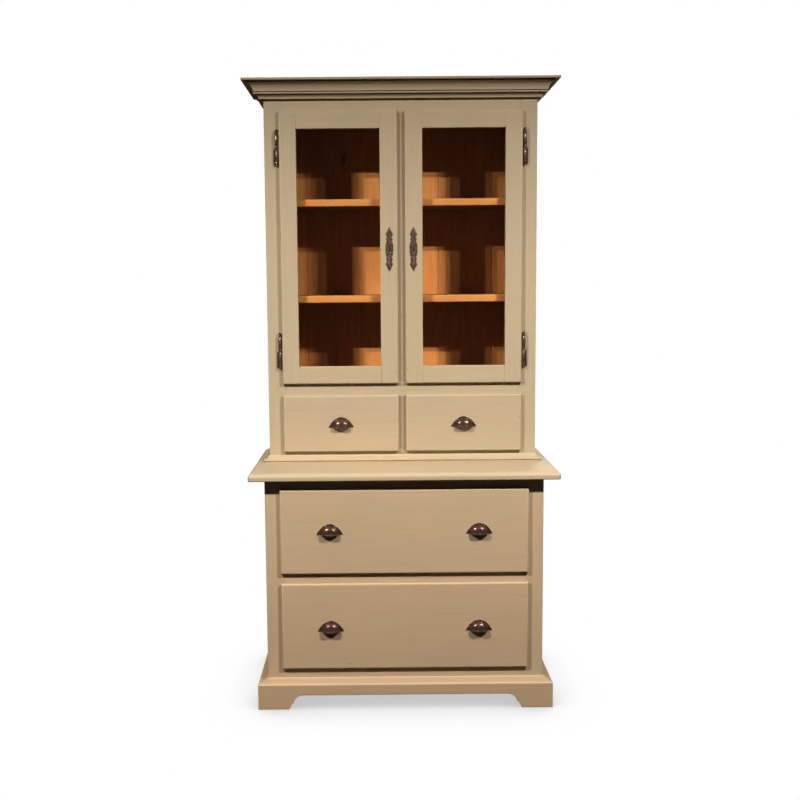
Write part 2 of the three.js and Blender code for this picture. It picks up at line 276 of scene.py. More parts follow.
def rectangles(extent: Extent, y: np.ndarray, insets: Sequence[np.ndarray]) -> np.ndarray:
    """A rectangle at each Y, drawn in from the sides of a box.

    Its corners are x_low + left or x_high - right, and z_low + bottom or z_high - top.

    Args:
        extent: The box.
        y: The Y of each rectangle.
        insets: How far the left, right, bottom and top are drawn in, at each Y.

    Returns:
        An array of rectangle, corner and coordinate.
    """
    left, right, bottom, top = insets
    x = grid(extent.low[0] + left, extent.high[0] - right)[:, [0, 1, 1, 0]]
    z = grid(extent.low[2] + bottom, extent.high[2] - top)[:, [0, 0, 1, 1]]
    return grid(x, y[:, None], z)


def stack(
    extent: Extent,
    depths: np.ndarray,
    insets: Sequence[np.ndarray],
    wear: Union[np.ndarray, float],
    tone: float = 0.5,
) -> Shell:
    """A block made of rectangles, one at each depth, each drawn in by its own insets.

    Args:
        extent: The block's outer box; its low Y is the front.
        depths: The distances from the front.
        insets: How far the left, right, bottom and top are drawn in, at each depth.
        wear: The wear at each depth.
        tone: The block's tone.

    Returns:
        The closed block.
    """
    spread = np.concatenate([[0.0], np.broadcast_to(np.asarray(wear, float), len(depths))])
    # A ring on the face, a short way in from its arrises, keeps their wear off the middle.
    depths = np.concatenate([depths[:1], depths])
    insets = [np.concatenate([inset[:1] + FACE_MARGIN, inset]) for inset in insets]
    rings = rectangles(extent, extent.low[1] + depths, insets)
    return Shell.loft(rings, np.repeat(spread[:, None], 4, 1), tone)


def eased_board(extent: Extent, ease: float, tone: float = 0.5) -> Shell:
    """A board with its front and back arrises eased by a small flat.

    Args:
        extent: The board's box.
        ease: The width of the eased arris.
        tone: The board's tone.

    Returns:
        The closed board.
    """
    depth = extent.size[1]
    depths = np.array([0.0, ease, depth - ease, depth])
    inset = np.array([ease, 0.0, 0.0, ease])
    return stack(extent, depths, [inset] * 4, np.array([1.0, 0.4, 0.4, 1.0]), tone)


def carried_round(
    profile: np.ndarray, half_width: float, face: float, back: float, corner: float
) -> np.ndarray:
    """A profile of projection and height, carried round the front and both sides.

    The path is the carcass outline pushed out by the projection. Each front corner is an arc
    whose radius shrinks by as much as the point lies inside the outermost one.

    Args:
        profile: Rows of projection and height.
        half_width: Half the carcass width.
        face: The carcass front's Y.
        back: The Y where the moulding ends.
        corner: The corner's radius at the outermost point.

    Returns:
        An array of profile point, station on the path, and coordinate.
    """
    out, height = profile[:, :1], profile[:, 1:]
    radius = np.maximum(corner - (out.max() - out), 0.2 * MM)
    turn = np.radians(np.linspace(0.0, 90.0, 7))[None, :]
    x = np.hstack([half_width + out, half_width + out - radius * (1 - np.cos(turn))])
    y = np.hstack([np.full(out.shape, back), face - out + radius * (1 - np.sin(turn))])
    return grid(np.hstack([-x, x[:, ::-1]]), np.hstack([y, y[:, ::-1]]), height)


def turned(profile: np.ndarray, segments: int) -> Shell:
    """A profile of radius and height, turned about the Z axis.

    Args:
        profile: Rows of radius and height. Both ends are capped.
        segments: The number of steps round the axis.

    Returns:
        The closed turning.
    """
    angle = np.linspace(0, 2 * np.pi, segments, endpoint=False)
    radius = np.maximum(profile[:, :1], 0.02 * MM)
    return Shell.loft(grid(radius * np.cos(angle), radius * np.sin(angle), profile[:, 1:]))


def screw_head(radius: float, height: float, slot: float) -> Shell:
    """A slotted round screw head: two half domes on a disc, with a gap between them.

    Each half is a stack of D shapes. At share t of the height the radius is R times the
    square root of 1 - 0.75 t squared, and the flat of the D stays half a slot from the middle.

    Args:
        radius: The head's radius.
        height: The head's height.
        slot: The slot's width.

    Returns:
        The head, standing on Y = 0 and pointing to the front.
    """
    share = np.linspace(0.0, 1.0, 5)[:, None]
    reach = radius * np.sqrt(1 - 0.75 * share**2)
    angle = np.arccos(np.clip(slot / 2 / reach, 0, 1)) * np.linspace(-1, 1, 11)[None, :]
    z = 0.35 * height + 0.65 * height * share
    half = Shell.loft(grid(reach * np.cos(angle), reach * np.sin(angle), z))
    disc = turned(chain([radius, 0], [radius, 0.35 * height]), 16)
    return Shell.together([half, half.mirrored(), disc]).facing_front()


# ---------------------------------------------------------------- materials


def operator(operation: str, swapped: bool = False) -> Callable[..., "Value"]:
    """Writes a method of Value that adds a Math node.

    Args:
        operation: The node's operation.
        swapped: Whether the value stands after the other term, as in 1 - mask.

    Returns:
        The method.
    """

    def method(value: "Value", *other: object) -> "Value":
        terms = (*other, value) if swapped else (value, *other)
        return value.net.node("ShaderNodeMath", {"operation": operation}, dict(enumerate(terms)))

    return method


class Value:
    """A shader socket that takes part in arithmetic."""

    __add__, __radd__ = operator("ADD"), operator("ADD", True)
    __sub__, __rsub__ = operator("SUBTRACT"), operator("SUBTRACT", True)
    __mul__, __rmul__ = operator("MULTIPLY"), operator("MULTIPLY", True)
    __abs__, sine, above = operator("ABSOLUTE"), operator("SINE"), operator("GREATER_THAN")

    def __init__(self, net: "Network", socket: bpy.types.NodeSocket) -> None:
        """Keeps the network and the socket."""
        self.net = net
        self.socket = socket

    def rise(self, start: float, end: float) -> "Value":
        """A smooth step from nought at the start to one at the end.

        Args:
            start: Where the step begins.
            end: Where it is complete. It may be less than the start.

        Returns:
            The stepped value.
        """
        low, high = min(start, end), max(start, end)
        ends = (0.0, 1.0) if start < end else (1.0, 0.0)
        return self.net.node(
            "ShaderNodeMapRange",
            {"interpolation_type": "SMOOTHSTEP"},
            {0: self, 1: low, 2: high, 3: ends[0], 4: ends[1]},
        )


class Network:
    """The nodes of one material or world. Only its node method adds a node."""

    def __init__(self, tree: bpy.types.NodeTree) -> None:
        """Takes an empty tree."""
        self.tree = tree
        tree.nodes.clear()

    def node(
        self,
        kind: str,
        settings: Union[dict, None] = None,
        inputs: Union[dict, None] = None,
        output: Union[int, str] = 0,
    ) -> Value:
        """Adds a node.

        Args:
            kind: The node's type.
            settings: Its own settings, which are set first. Stops are a ramp's colours.
            inputs: A value or a link for each socket, by identifier, name or number.
            output: The output to hand back, in the same way.

        Returns:
            That output.
        """
        made = self.tree.nodes.new(kind)
        for key, setting in (settings or {}).items():
            if key == "stops":
                self._stops(made.color_ramp, setting)
            else:
                setattr(made, key, setting)
        for key, given in (inputs or {}).items():
            socket = self._find(made.inputs, key)
            if isinstance(given, Value):
                self.tree.links.new(given.socket, socket)
            else:
                socket.default_value = given
        return Value(self, self._find(made.outputs, output)) if made.outputs else None

    @staticmethod
    def _find(sockets: bpy.types.bpy_prop_collection, key: Union[int, str]):
        """A socket by number, identifier or name, in that order."""
        if isinstance(key, int):
            return sockets[key]
        exact = [s for s in sockets if s.identifier == key]
        return exact[0] if exact else sockets[key]

    @staticmethod
    def _stops(ramp: bpy.types.ColorRamp, stops: Sequence[tuple[float, Colour]]) -> None:
        """Gives a ramp its stops."""
        while len(ramp.elements) < len(stops):
            ramp.elements.new(0.5)
        for element, (place, colour) in zip(ramp.elements, stops):
            element.position = place
            element.color = (*colour, 1.0)

    def place(self) -> Value:
        """Object coordinates."""
        return self.node("ShaderNodeTexCoord", output="Object")

    def stretch(self, where: Value, scale: Sequence[float]) -> Value:
        """Coordinates scaled on each axis."""
        return self.node(
            "ShaderNodeVectorMath", {"operation": "MULTIPLY"}, {0: where, 1: tuple(scale)}
        )

    def noise(
        self, where: Value, scale: float, detail: float = 3.0, distortion: float = 0.0
    ) -> Value:
        """Noise between nought and one.

        Args:
            where: The coordinates.
            scale: Its scale.
            detail: Its octaves.
            distortion: Its distortion.

        Returns:
            The noise value.
        """
        return self.node(
            "ShaderNodeTexNoise",
            None,
            {"Vector": where, "Scale": scale, "Detail": detail, "Distortion": distortion},
            "Fac",
        )

    def mix(self, factor: object, first: object, second: object) -> Value:
        """A colour between two colours.

        Args:
            factor: The share of the second.
            first: A colour or a link.
            second: A colour or a link.

        Returns:
            The mixed colour.
        """
        pair = [(*c, 1.0) if isinstance(c, tuple) else c for c in (first, second)]
        return self.node(
            "ShaderNodeMix",
            {"data_type": "RGBA"},
            {"Factor_Float": factor, "A_Color": pair[0], "B_Color": pair[1]},
            "Result_Color",
        )

    def mark(self, name: str) -> Value:
        """A mark that a surface carries, which is nought where it has none."""
        return self.node("ShaderNodeAttribute", {"attribute_name": name}, output="Fac")

    def axes(self, where: Value) -> list[Value]:
        """The three parts of a vector."""
        split = self.node("ShaderNodeSeparateXYZ", None, {0: where}, 0)
        return [Value(self, s) for s in split.socket.node.outputs]

    def bump(self, height: Value, strength: float, distance: float) -> Value:
        """A bumped normal from a height."""
        return self.node(
            "ShaderNodeBump", None, {"Strength": strength, "Distance": distance, "Height": height}
        )

    def surface(self, inputs: dict) -> Value:
        """A Principled shader with these inputs, as the material's surface."""
        shader = self.node("ShaderNodeBsdfPrincipled", None, inputs, "BSDF")
        self.node("ShaderNodeOutputMaterial", None, {"Surface": shader})
        return shader


def grain_scale(grain: Grain, along: float, across: float) -> list[float]:
    """A scale for each axis, with its own number along the grain."""
    return [along if axis == grain.value else across for axis in range(3)]


@dataclass(frozen=True)
class Finish:
    """What every finish shares: a name, and a material that is made once."""

    @property
    def name(self) -> str:
        """The material's name, from the finish's own settings."""
        words = [type(self).__name__]
        for value in self.__dict__.values():
            words.append(value.name if isinstance(value, Enum) else f"{value}")
        return "_".join(words).lower()

    def dress(self, net: Network) -> None:
        """Adds the finish's nodes."""
        raise NotImplementedError

    def material(self) -> bpy.types.Material:
        """The finish's material."""
        known = bpy.data.materials.get(self.name)
        if known:
            return known
        made = bpy.data.materials.new(self.name)
        made.use_nodes = True
        self.dress(Network(made.node_tree))
        return made


class Bare(Enum):
    """The faces of a painted board that were left bare: those nearer on an axis than a limit."""

    NONE = (0, 0.0)
    INNER_SIDE = (0, 0.4393)
    UNDERSIDE = (2, 2.0485)


def pine_colour(net: Network, where: Value, grain: Grain, depth: float) -> tuple[Value, Value]:
    """Knotty pine: slow bands bent by noise, fine fibres, and dark knots.

    Args:
        net: The network that takes the nodes.
        where: Object coordinates.
        grain: The way the grain runs.
        depth: How far the colour is darkened, from nought to one, by age and by painted shade
            inside the cabinet.

    Returns:
        The colour and the height of its grain.
    """
    tone = net.mark("tone")
    slide = net.node(
        "ShaderNodeCombineXYZ", None, {0: tone * 3.1, 1: tone * 1.7, 2: tone * 5.3}
    )
    shifted = net.node("ShaderNodeVectorMath", {"operation": "ADD"}, {0: where, 1: slide})
    bent = net.noise(net.stretch(shifted, grain_scale(grain, 1.4, 9.0)), 1.0, 3.0, 0.4)
    rings = (bent * 46.0).sine() * 0.5 + 0.5
    fibre = net.noise(net.stretch(shifted, grain_scale(grain, 7.0, 330.0)), 1.0, 3.0)
    cells = {"Vector": net.stretch(shifted, grain_scale(grain, 3.1, 8.4)), "Scale": 1.0}
    knots = net.node("ShaderNodeTexVoronoi", {"feature": "F1"}, cells, "Distance")
    chance = net.axes(net.node("ShaderNodeTexVoronoi", {"feature": "F1"}, cells, "Color"))[0]
    some = chance.above(0.25)
    knot = knots.rise(0.085, 0.04) * some
    halo = knots.rise(0.24, 0.06) * some
    light, mid, deep = (0.90, 0.45, 0.150), (0.82, 0.36, 0.105), (0.50, 0.160, 0.036)
    colour = net.mix(rings * 0.55 + fibre * 0.45, light, mid)
    colour = net.mix(tone.rise(0.1, 1.1) * 0.40, colour, deep)
    colour = net.mix(fibre.rise(0.55, 0.85) * 0.35, colour, deep)
    colour = net.mix(halo * 0.35, colour, deep)
    colour = net.mix(knot * 0.9, colour, (0.10, 0.022, 0.006))
    colour = net.mix(net.noise(where, 2.3, 3.0).rise(0.45, 0.8) * 0.3, colour, deep)
    # Painted shade, with age: the depth darkens inside faces towards brown.
    if depth:
        colour = net.mix(depth, colour, (0.16, 0.095, 0.055))
    return colour, rings * 0.3 + fibre * 0.7 - knot * 0.5


@dataclass(frozen=True)
class Paint(Finish):
    """Old chalky paint, brushed on over pine along its grain, with some faces left bare."""

    grain: Grain
    bare: Bare = Bare.NONE
    # Warmth is set higher lower down the cabinet: painted warm light from below.
    warmth: float = 0.0
    # Painted shade: how far the whole part is darkened.
    dirt: float = 0.0

    def between(self, cool: Colour, warm: Colour) -> Colour:
        """A colour between a cool and a warm one, by the warmth, which is painted warm light from
        below.
        """
        return tuple(c + (w - c) * self.warmth for c, w in zip(cool, warm))

    def dress(self, net: Network) -> None:
        """Adds brush strokes, mottling, wear on the arrises, nicks, painted shade and the bare
        faces.
        """
        where = net.place()
        strokes = net.noise(net.stretch(where, grain_scale(self.grain, 5.0, 270.0)), 1.0, 3.0)
        figure = net.noise(
            net.stretch(where, grain_scale(self.grain, 1.6, 34.0)), 1.0, 5.0, 1.2
        )
        cloud = net.noise(where, 3.2, 4.0)
        patch = net.noise(where, 11.0, 3.0, 0.6)
        base = self.between((0.555, 0.456, 0.336), (0.590, 0.438, 0.300))
        olive = self.between((0.525, 0.450, 0.330), (0.560, 0.430, 0.297))
        rosy, light, under = (0.620, 0.440, 0.310), (0.700, 0.590, 0.450), (0.30, 0.21, 0.13)
        colour = net.mix(cloud.rise(0.35, 0.68), base, olive)
        colour = net.mix(patch.rise(0.55, 0.72) * (0.15 + 0.25 * self.warmth), colour, rosy)
        colour = net.mix(strokes.rise(0.35, 0.75) * 0.16, colour, light)
        colour = net.mix(figure.rise(0.58, 0.74) * 0.10, colour, under)
        arris = net.mark("wear").rise(0.0, 1.0)
        # Painted shade: the wear mark below nought darkens creases and recesses, and the paint's
        # shade setting darkens whole parts that lie in shade.
        grime_and_shade = net.mark("wear").rise(0.0, -1.0) + self.dirt
        worn = arris * net.noise(where, 38.0, 4.0).rise(0.30, 0.70)
        colour = net.mix(worn * 0.35, colour, (0.74, 0.60, 0.44))
        colour = net.mix(grime_and_shade * 0.75, colour, (0.150, 0.090, 0.045))
        nick = net.noise(where, 130.0, 2.0).rise(0.775, 0.80)
        chip = arris * net.noise(where, 70.0, 3.0).rise(0.69, 0.73)
        marks = nick + chip * 0.7
        colour = net.mix(marks, colour, (0.16, 0.09, 0.05))
        height = strokes * 0.5 + figure * 0.35 - marks * 0.6
        rough = 0.50 + 0.16 * strokes - 0.08 * worn
        axis, limit = self.bare.value
        if self.bare is not Bare.NONE:
            # Bare inside faces are darkened by age and painted shade.
            wood, ridges = pine_colour(net, where, self.grain, 0.85)
            inside = 1.0 - abs(net.axes(where)[axis]).above(limit)
            colour = net.mix(inside, colour, wood)
            height = height * (1.0 - inside) + ridges * inside
        net.surface(
            {
                "Base Color": colour,
                "Roughness": rough,
                "Specular IOR Level": 0.35,
                "Normal": net.bump(height, 0.35, 0.0005),
            }
        )


@dataclass(frozen=True)
class BarePine(Finish):
    """Orange knotty pine, waxed, and darkened by age and by painted shade inside the cabinet."""

    grain: Grain
    age: float = 0.0

    def dress(self, net: Network) -> None:
        """Adds the figure of the wood and its fine ridges."""
        where = net.place()
        colour, ridges = pine_colour(net, where, self.grain, self.age)
        worn = net.mark("wear").rise(0.0, 1.0) * net.noise(where, 30.0, 3.0).rise(0.4, 0.6)
        colour = net.mix(worn * 0.3, colour, (0.92, 0.48, 0.17))
        # Painted shade with dust: the wear mark below nought darkens the shelves' flats inside the
        # cupboard.
        dust_and_shade = net.mark("wear").rise(0.0, -1.0)
        colour = net.mix(dust_and_shade * 0.8, colour, (0.150, 0.085, 0.045))
        net.surface(
            {
                "Base Color": colour,
                "Roughness": 0.46 + 0.2 * ridges,
                "Specular IOR Level": 0.4,
                "Normal": net.bump(ridges, 0.3, 0.0006),
            }
        )


@dataclass(frozen=True)
class AgedIron(Finish):
    """Brown iron with a purplish bloom, rubbed bright where hands touch it."""

    def dress(self, net: Network) -> None:
        """Adds bloom, rust freckles, a lightly hammered face and painted shade in the keyhole and
        against the door.
        """
        where = net.place()
        bloom = net.noise(where, 60.0, 4.0)
        freckle = net.noise(where, 420.0, 2.0).rise(0.60, 0.72)
        rubbed = net.mark("wear").rise(0.0, 1.0) * net.noise(where, 130.0, 3.0).rise(0.3, 0.6)
        # Painted shade: the wear mark below nought darkens iron to near black, in the keyhole and
        # along the plate's edge against the door.
        grime_and_shade = net.mark("wear").rise(0.0, -1.0)
        colour = net.mix(bloom.rise(0.35, 0.7), (0.170, 0.102, 0.084), (0.095, 0.055, 0.046))
        colour = net.mix(freckle * 0.5, colour, (0.20, 0.07, 0.03))
        colour = net.mix(rubbed * 0.7, colour, (0.42, 0.31, 0.26))
        colour = net.mix(grime_and_shade, colour, (0.012, 0.008, 0.006))
        net.surface(
            {
                "Base Color": colour,
                "Metallic": 0.55,
                "Roughness": 0.20 + 0.18 * bloom + 0.2 * freckle,
                "Normal": net.bump(net.noise(where, 240.0, 3.0), 0.25, 0.0006),
            }
        )


@dataclass(frozen=True)
class WindowGlass(Finish):
    """A thin clear pane."""

    def dress(self, net: Network) -> None:
        """Adds a nearly clear surface with the slow waves of drawn glass."""
        wave = net.noise(net.place(), 9.0, 1.0)
        net.surface(
            {
                "Base Color": (0.03, 0.035, 0.03, 1.0),
                "Roughness": 0.04,
                "Alpha": 0.04,
                "Normal": net.bump(wave, 0.05, 0.002),
            }
        )


# ---------------------------------------------------------------- pieces


SLOTS = {
    Paint: "painted_pine",
    BarePine: "bare_pine",
    AgedIron: "aged_iron",
    WindowGlass: "clear_glass",
}


def make_piece(
    name: str,
    shell: Shell,
    finish: Finish,
    body: str,
    stands_for: Sequence[str] = (),
    bevel: float = 0.0,
    sharp: float = 32.0,
) -> bpy.types.Object:
    """Puts a surface into a mesh of its own and lets it ride on a body.

    Args:
        name: The piece's name.
        shell: Its surface.
        finish: Its finish.
        body: The body that it moves with.
        stands_for: The nodes of the frame that it replaces.
        bevel: The width of a bevel on its sharp edges, or nought.
        sharp: The angle in degrees past which an edge is drawn sharp.

    Returns:
        The new object.
    """
    mesh = bpy.data.meshes.new(name)
    faces = [face for block in shell.faces for face in block.tolist()]
    mesh.from_pydata(shell.points.tolist(), [], faces)
    for mark, values in (("wear", shell.wear), ("tone", shell.tone)):
        mesh.attributes.new(mark, "FLOAT", "POINT").data.foreach_set(
            "value", values.astype(np.float32)
        )
    mesh.polygons.foreach_set("use_smooth", np.ones(len(faces), bool))
    mesh.update()
    mesh.set_sharp_from_angle(angle=math.radians(sharp))
    mesh.materials.append(finish.material())
    made = bpy.data.objects.new(name, mesh)
    bpy.context.scene.collection.objects.link(made)
    if bevel:
        add_bevel(made, bevel)
    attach(made, body)
    SLOTS[type(finish)]
    if stands_for:
        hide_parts(*stands_for)
    log.info("%s: %d points on %s", name, len(shell.points), body)
    return made


def add_bevel(piece: bpy.types.Object, width: float) -> None:
    """Rounds a piece's sharp edges with two segments.

    Args:
        piece: The object.
        width: The bevel's width.
    """
    modifier = piece.modifiers.new("arris", "BEVEL")
    modifier.width = width
    modifier.segments = 2
    modifier.limit_method = "ANGLE"
    modifier.angle_limit = math.radians(40)
    modifier.harden_normals = True


def add_weld(piece: bpy.types.Object, distance: float) -> None:
    """Joins a piece's points that lie closer together than a distance."""
    piece.modifiers.new("weld", "WELD").merge_threshold = distance


def dress_node(node: str, finish: Finish, bevel: float = 0.0) -> None:
    """Gives a node of the frame its finish, and eases its arrises.

    Args:
        node: The node's name.
        finish: Its finish.
        bevel: The width of the eased arris, or nought.
    """
    piece = frame["nodes"][node]
    piece.data.materials.clear()
    piece.data.materials.append(finish.material())
    if bevel:
        add_weld(piece, 0.00002)
        add_bevel(piece, bevel)
    SLOTS[type(finish)]
    log.info("%s: dressed", node)


@dataclass
class Carcass:
    """Both carcasses: sides, face frames, boards, shelves and backs."""

    ease: float = 1.2 * MM
    board_pitch: float = 98 * MM
    groove: float = 2.2 * MM
    batten: tuple[float, float] = (14 * MM, 22 * MM)
    nose: float = 2.5 * MM
    # Warmth of the lower carcass: painted warm light from below.
    base_warmth: float = 0.6

    def build(self) -> None:
        """Dresses the plain boards and makes the shelves and backs."""
        for finish, nodes in self.finishes().items():
            for node in nodes:
                dress_node(node, finish, self.ease)
        for number, node in enumerate(("shelf_upper", "shelf_lower")):
            self.shelf(node, 0.30 + 0.1 * number)
            self.battens(node)
        self.back("upper_back_panel", 1)
        self.back("lower_back_panel", 2)

    def finishes(self) -> dict[Finish, list[str]]:
        """The boards that keep the frame's own mesh, by their finish."""
        sides, rails, base = ("left", "right"), ("top", "mid", "bottom"), self.base_warmth
        outer = [f"{level}_{side}_side" for level in ("upper", "lower") for side in sides]
        return {
            Paint(Grain.UP, Bare.INNER_SIDE): outer,
            Paint(Grain.UP): [f"upper_{side}_stile" for side in sides],
            Paint(Grain.UP, warmth=base): [f"lower_{side}_stile" for side in sides],
            # Painted shade: the posts between the doors and between the drawers are darkened.
            Paint(Grain.UP, dirt=0.22): ["door_post", "drawer_post"],
            Paint(Grain.ACROSS): [f"upper_{rail}_rail" for rail in rails],
            Paint(Grain.ACROSS, warmth=base): [f"lower_{rail}_rail" for rail in rails],
            Paint(Grain.ACROSS, Bare.UNDERSIDE): ["upper_top_board"],
            # The number after the grain darkens the wood: age, and painted shade inside the
            # cabinet.
            BarePine(Grain.ACROSS, 0.85): [
                "cupboard_floor", "upper_bottom_board", "lower_bottom_board",
            ],
            BarePine(Grain.DEEP, 0.35): [
                "drawer_runner_left", "drawer_runner_right", "drawer_divider",
            ],
        }

    def shelf(self, node: str, tone: float) -> None:
        """Makes a shelf as one section with a rounded front edge, darkened but for that edge by
        dust and painted shade.

        Args:
            node: The shelf in the frame.
            tone: Its tone.
        """
        extent = Extent.of(node)
        depth, thick = extent.size[1:]
        radius = self.nose
        nose = arc((radius, 0), (radius, radius), 180, 90, 5)
        section = chain(
            nose * [1, -1] + [0, radius],
            [3 * radius, 0],
            [depth, 0],
            [depth, thick],
            [3 * radius, thick],
            (nose + [0, thick - radius])[::-1],
            [0, thick / 2],
        )
        wear = np.where(section[:, 0] < 1.01 * radius, 0.8, 0.0)
        # Painted shade with dust on the shelf's flats, all but the front edge.
        wear[section[:, 0] > 2 * radius] = -1.0
        wear[-1] = 0.0
        ends = np.array([[extent.low[0]], [extent.high[0]]])
        rings = grid(ends, *(extent.low[1:] + section).T)
        shell = Shell.loft(rings, wear[None, :], tone)
        make_piece(f"{node}_board", shell, BarePine(Grain.ACROSS), "carcass", [node])

    def battens(self, node: str) -> None:
        """Makes the two battens that carry a shelf."""
        extent = Extent.of(node)
        wide, tall = self.batten
        for side in Side:
            inner = side.value * extent.high[0]
            batten = Extent.between(
                (inner, extent.low[1] + 8 * MM, extent.low[2] - tall),
                (inner - side.value * wide, extent.high[1] - 2 * MM, extent.low[2]),
            )
            shell = eased_board(batten, 1.5 * MM, 0.7)
            name = f"{node}_batten_{side.word}"
            make_piece(name, shell, BarePine(Grain.DEEP), "carcass", bevel=1.0 * MM)

    def back(self, node: str, seed: int) -> None:
        """Makes a back of upright boards with a V groove on both faces of each joint.

        Args:
            node: The back panel in the frame.
            seed: What the boards' widths and tones are drawn from.
        """
        extent = Extent.of(node)
        draw = np.random.default_rng(seed)
        count = int(round(extent.size[0] / self.board_pitch))
        widths = self.board_pitch * (1 + 0.16 * (draw.random(count) - 0.5))
        share = extent.size[0] / widths.sum()
        edges = extent.low[0] + np.concatenate([[0], np.cumsum(widths)]) * share
        depth = extent.size[1]
        depths = np.array([0.0, self.groove, depth - self.groove, depth])
        side = np.array([self.groove, 0.0, 0.0, self.groove])
        insets = [side, side, np.zeros(4), np.zeros(4)]
        shells = [
            stack(
                Extent.between((left, *extent.low[1:]), (right, *extent.high[1:])),
                depths, insets, 0.2, float(draw.random()),
            )
            for left, right in zip(edges, edges[1:])
        ]
        make_piece(f"{node}_boards", Shell.together(shells), BarePine(Grain.UP), "carcass", [node])


@dataclass
class Mouldings:
    """The cornice, the waist moulding, the table slab and the plinth."""

    half_width: float = field(default_factory=lambda: Extent.of("upper_right_side").high[0])
    back: float = field(default_factory=lambda: Extent.of("upper_right_side").high[1])
    top_face: float = field(default_factory=lambda: Extent.of("upper_right_stile").low[1])
    base_face: float = field(default_factory=lambda: Extent.of("lower_right_stile").low[1])
    foot_width: float = 102 * MM
    toe_slope: tuple[float, float] = (12 * MM, 20 * MM)
    curve: tuple[float, float, float] = (52 * MM, 36 * MM, 28 * MM)
    plinth_edge: float = 85 * MM

    def build(self) -> None:
        """Makes the four moulded pieces."""
        self.cornice()
        self.waist()
        self.slab()
        self.plinth()

    def applied(self, name: str, node: str, profile: np.ndarray, corner: float) -> None:
        """Makes a moulding applied to the upper carcass, closed along its back and both ends.

        Args:
            name: The piece's name.
            node: The node that it replaces. Heights count from its foot.
            profile: Rows of projection and height in millimetres, from the bottom up.
            corner: The radius of its front corners.
        """
        profile = profile * MM + [0.0, Extent.of(node).low[2]]
        whole = chain([0, profile[0, 1]], profile, [0, profile[-1, 1]])
        step = np.diff(whole, axis=0)
        turn = np.angle(np.exp(1j * np.diff(np.arctan2(step[:, 1], step[:, 0]))))
        # Concave turns get wear below nought: painted shade in the quirks and coves.
        wear = np.concatenate([[0.0], np.clip(turn / 0.9, -0.9, 1), [0.0]])
        whole, wear = feathered(whole, wear, 1.5 * MM)
        stations = carried_round(whole, self.half_width, self.top_face, self.back, corner)
        shell = Shell.loft(stations.transpose(1, 0, 2), wear[None, :])
        make_piece(name, shell, Paint(Grain.ACROSS), "carcass", [node])

    def cornice(self) -> None:
        """Makes the cornice: a small cove, a fillet between quirks, a deep cove and a crown."""
        profile = chain(
            [3, 0],
            [3, 2.5],
            [14, 2.5],
            [14, 3.4],
            arc((23.5, 4), (9.3, 9.3), 176, 96, 6),
            [21, 13.6],
            [21, 16.5],
            [28.2, 16.5],
            arc((28, 19.1), (1.6, 2.5), -75, 75, 6),
            [26, 21.8],
            [26, 24.5],
            [31, 24.5],
            arc((57, 24.5), (26, 26), 178, 99, 12),
            [52, 50.6],
            [51, 51.6],
            [51, 54.6],
            [64.8, 54.6],
            arc((64.9, 55.7), (1.1, 1.1), -80, 0, 3),
            arc((64.5, 60.5), (1.5, 1.5), 0, 90, 3),
        )
        self.applied("cornice_moulding", "cornice", profile, 1.5 * MM)

    def waist(self) -> None:
        """Makes the moulding that covers the joint: a foot, a bright nose and a hollow slope."""
        profile = chain(
            [17, 0],
            [17, 3],
            arc((15.6, 7.6), (4.4, 4.4), -70, 100, 10),
            [13.6, 11.6],
            arc((13.6, 22), (9, 10), 270, 190, 8)[1:],
            [3.4, 23],
            [3, 24],
        )
        self.applied("waist_round", "waist_moulding", profile, 3 * MM)

    def slab(self) -> None:
        """Makes the table slab, with a soft lower arris, a thumbnail round and a small step."""
        extent = Extent.of("table_top")
        over = extent.high[0] - self.half_width
        thick = extent.size[2] / MM
        # Distance out from the slab's edge and height over its underside, in millimetres.
        profile = chain(
            arc((-3.5, 3.5), (3.5, 3.5), -90, 0, 5),
            arc((-12, thick - 14), (12, 12), 0, 86, 12),
            [-12.6, thick - 1.9],
            [-13.6, thick - 1.8],
            arc((-14.6, thick - 0.9), (0.9, 0.9), 0, 90, 3),
            [-20, thick],
        )
        wear = np.concatenate(
            [np.linspace(0.8, 0.2, 6), np.linspace(0.1, 0.7, 13), [0.3, 0.2], np.ones(4), [0.0]]
        )
        # The reach is in millimetres too: the wear stays a hairline on each arris.
        profile, wear = feathered(profile, wear, 0.0025)
        profile = profile * MM + [over, extent.low[2]]
        face = extent.low[1] + over
        rings = carried_round(profile, self.half_width, face, self.back, 9 * MM)
        shell = Shell.loft(rings, wear[:, None])
        # The slab's paint is darkened a little: painted shade on its lit top.
        make_piece("table_slab", shell, Paint(Grain.ACROSS, dirt=0.06), "carcass", ["table_top"])

    def under_edge(self, distance: np.ndarray) -> np.ndarray:
        """The height of the plinth's lower edge at a distance from the nearest corner.

        It is nought on the foot, rises in a straight slope at the toe, stays level for a short
        notch, and then follows a quarter ellipse up to the apron.

        Args:
            distance: The distance along the outer face from the corner.

        Returns:
            The height of the edge.
        """
        run, rise = self.toe_slope
        reach, wide, tall = self.curve
        past = distance - self.foot_width
        slope = np.clip(past / run, 0, 1) * rise
        share = np.clip((reach - past) / wide, 0, 1)
        return slope + tall * np.sqrt(1 - share**2) * (past > reach - wide)

    def stations(self, half: float) -> tuple[np.ndarray, np.ndarray]:
        """Stations along one side of the plinth, closer together on the curve.

        Args:
            half: Half the side's length, from corner to corner.

        Returns:
            Each station's distance from the side's middle, and the under edge's height there.
        """
        reach, wide, _ = self.curve
        quarter = np.linspace(0, np.pi / 2, 12)
        ends = [-1e-6, self.toe_slope[0], reach - wide - 1e-6]
        steps = self.foot_width + np.concatenate([ends, reach - wide * np.cos(quarter)])
        spots = np.concatenate([steps - half, (half - steps)[::-1]])
        return spots, self.under_edge(half - np.abs(spots))

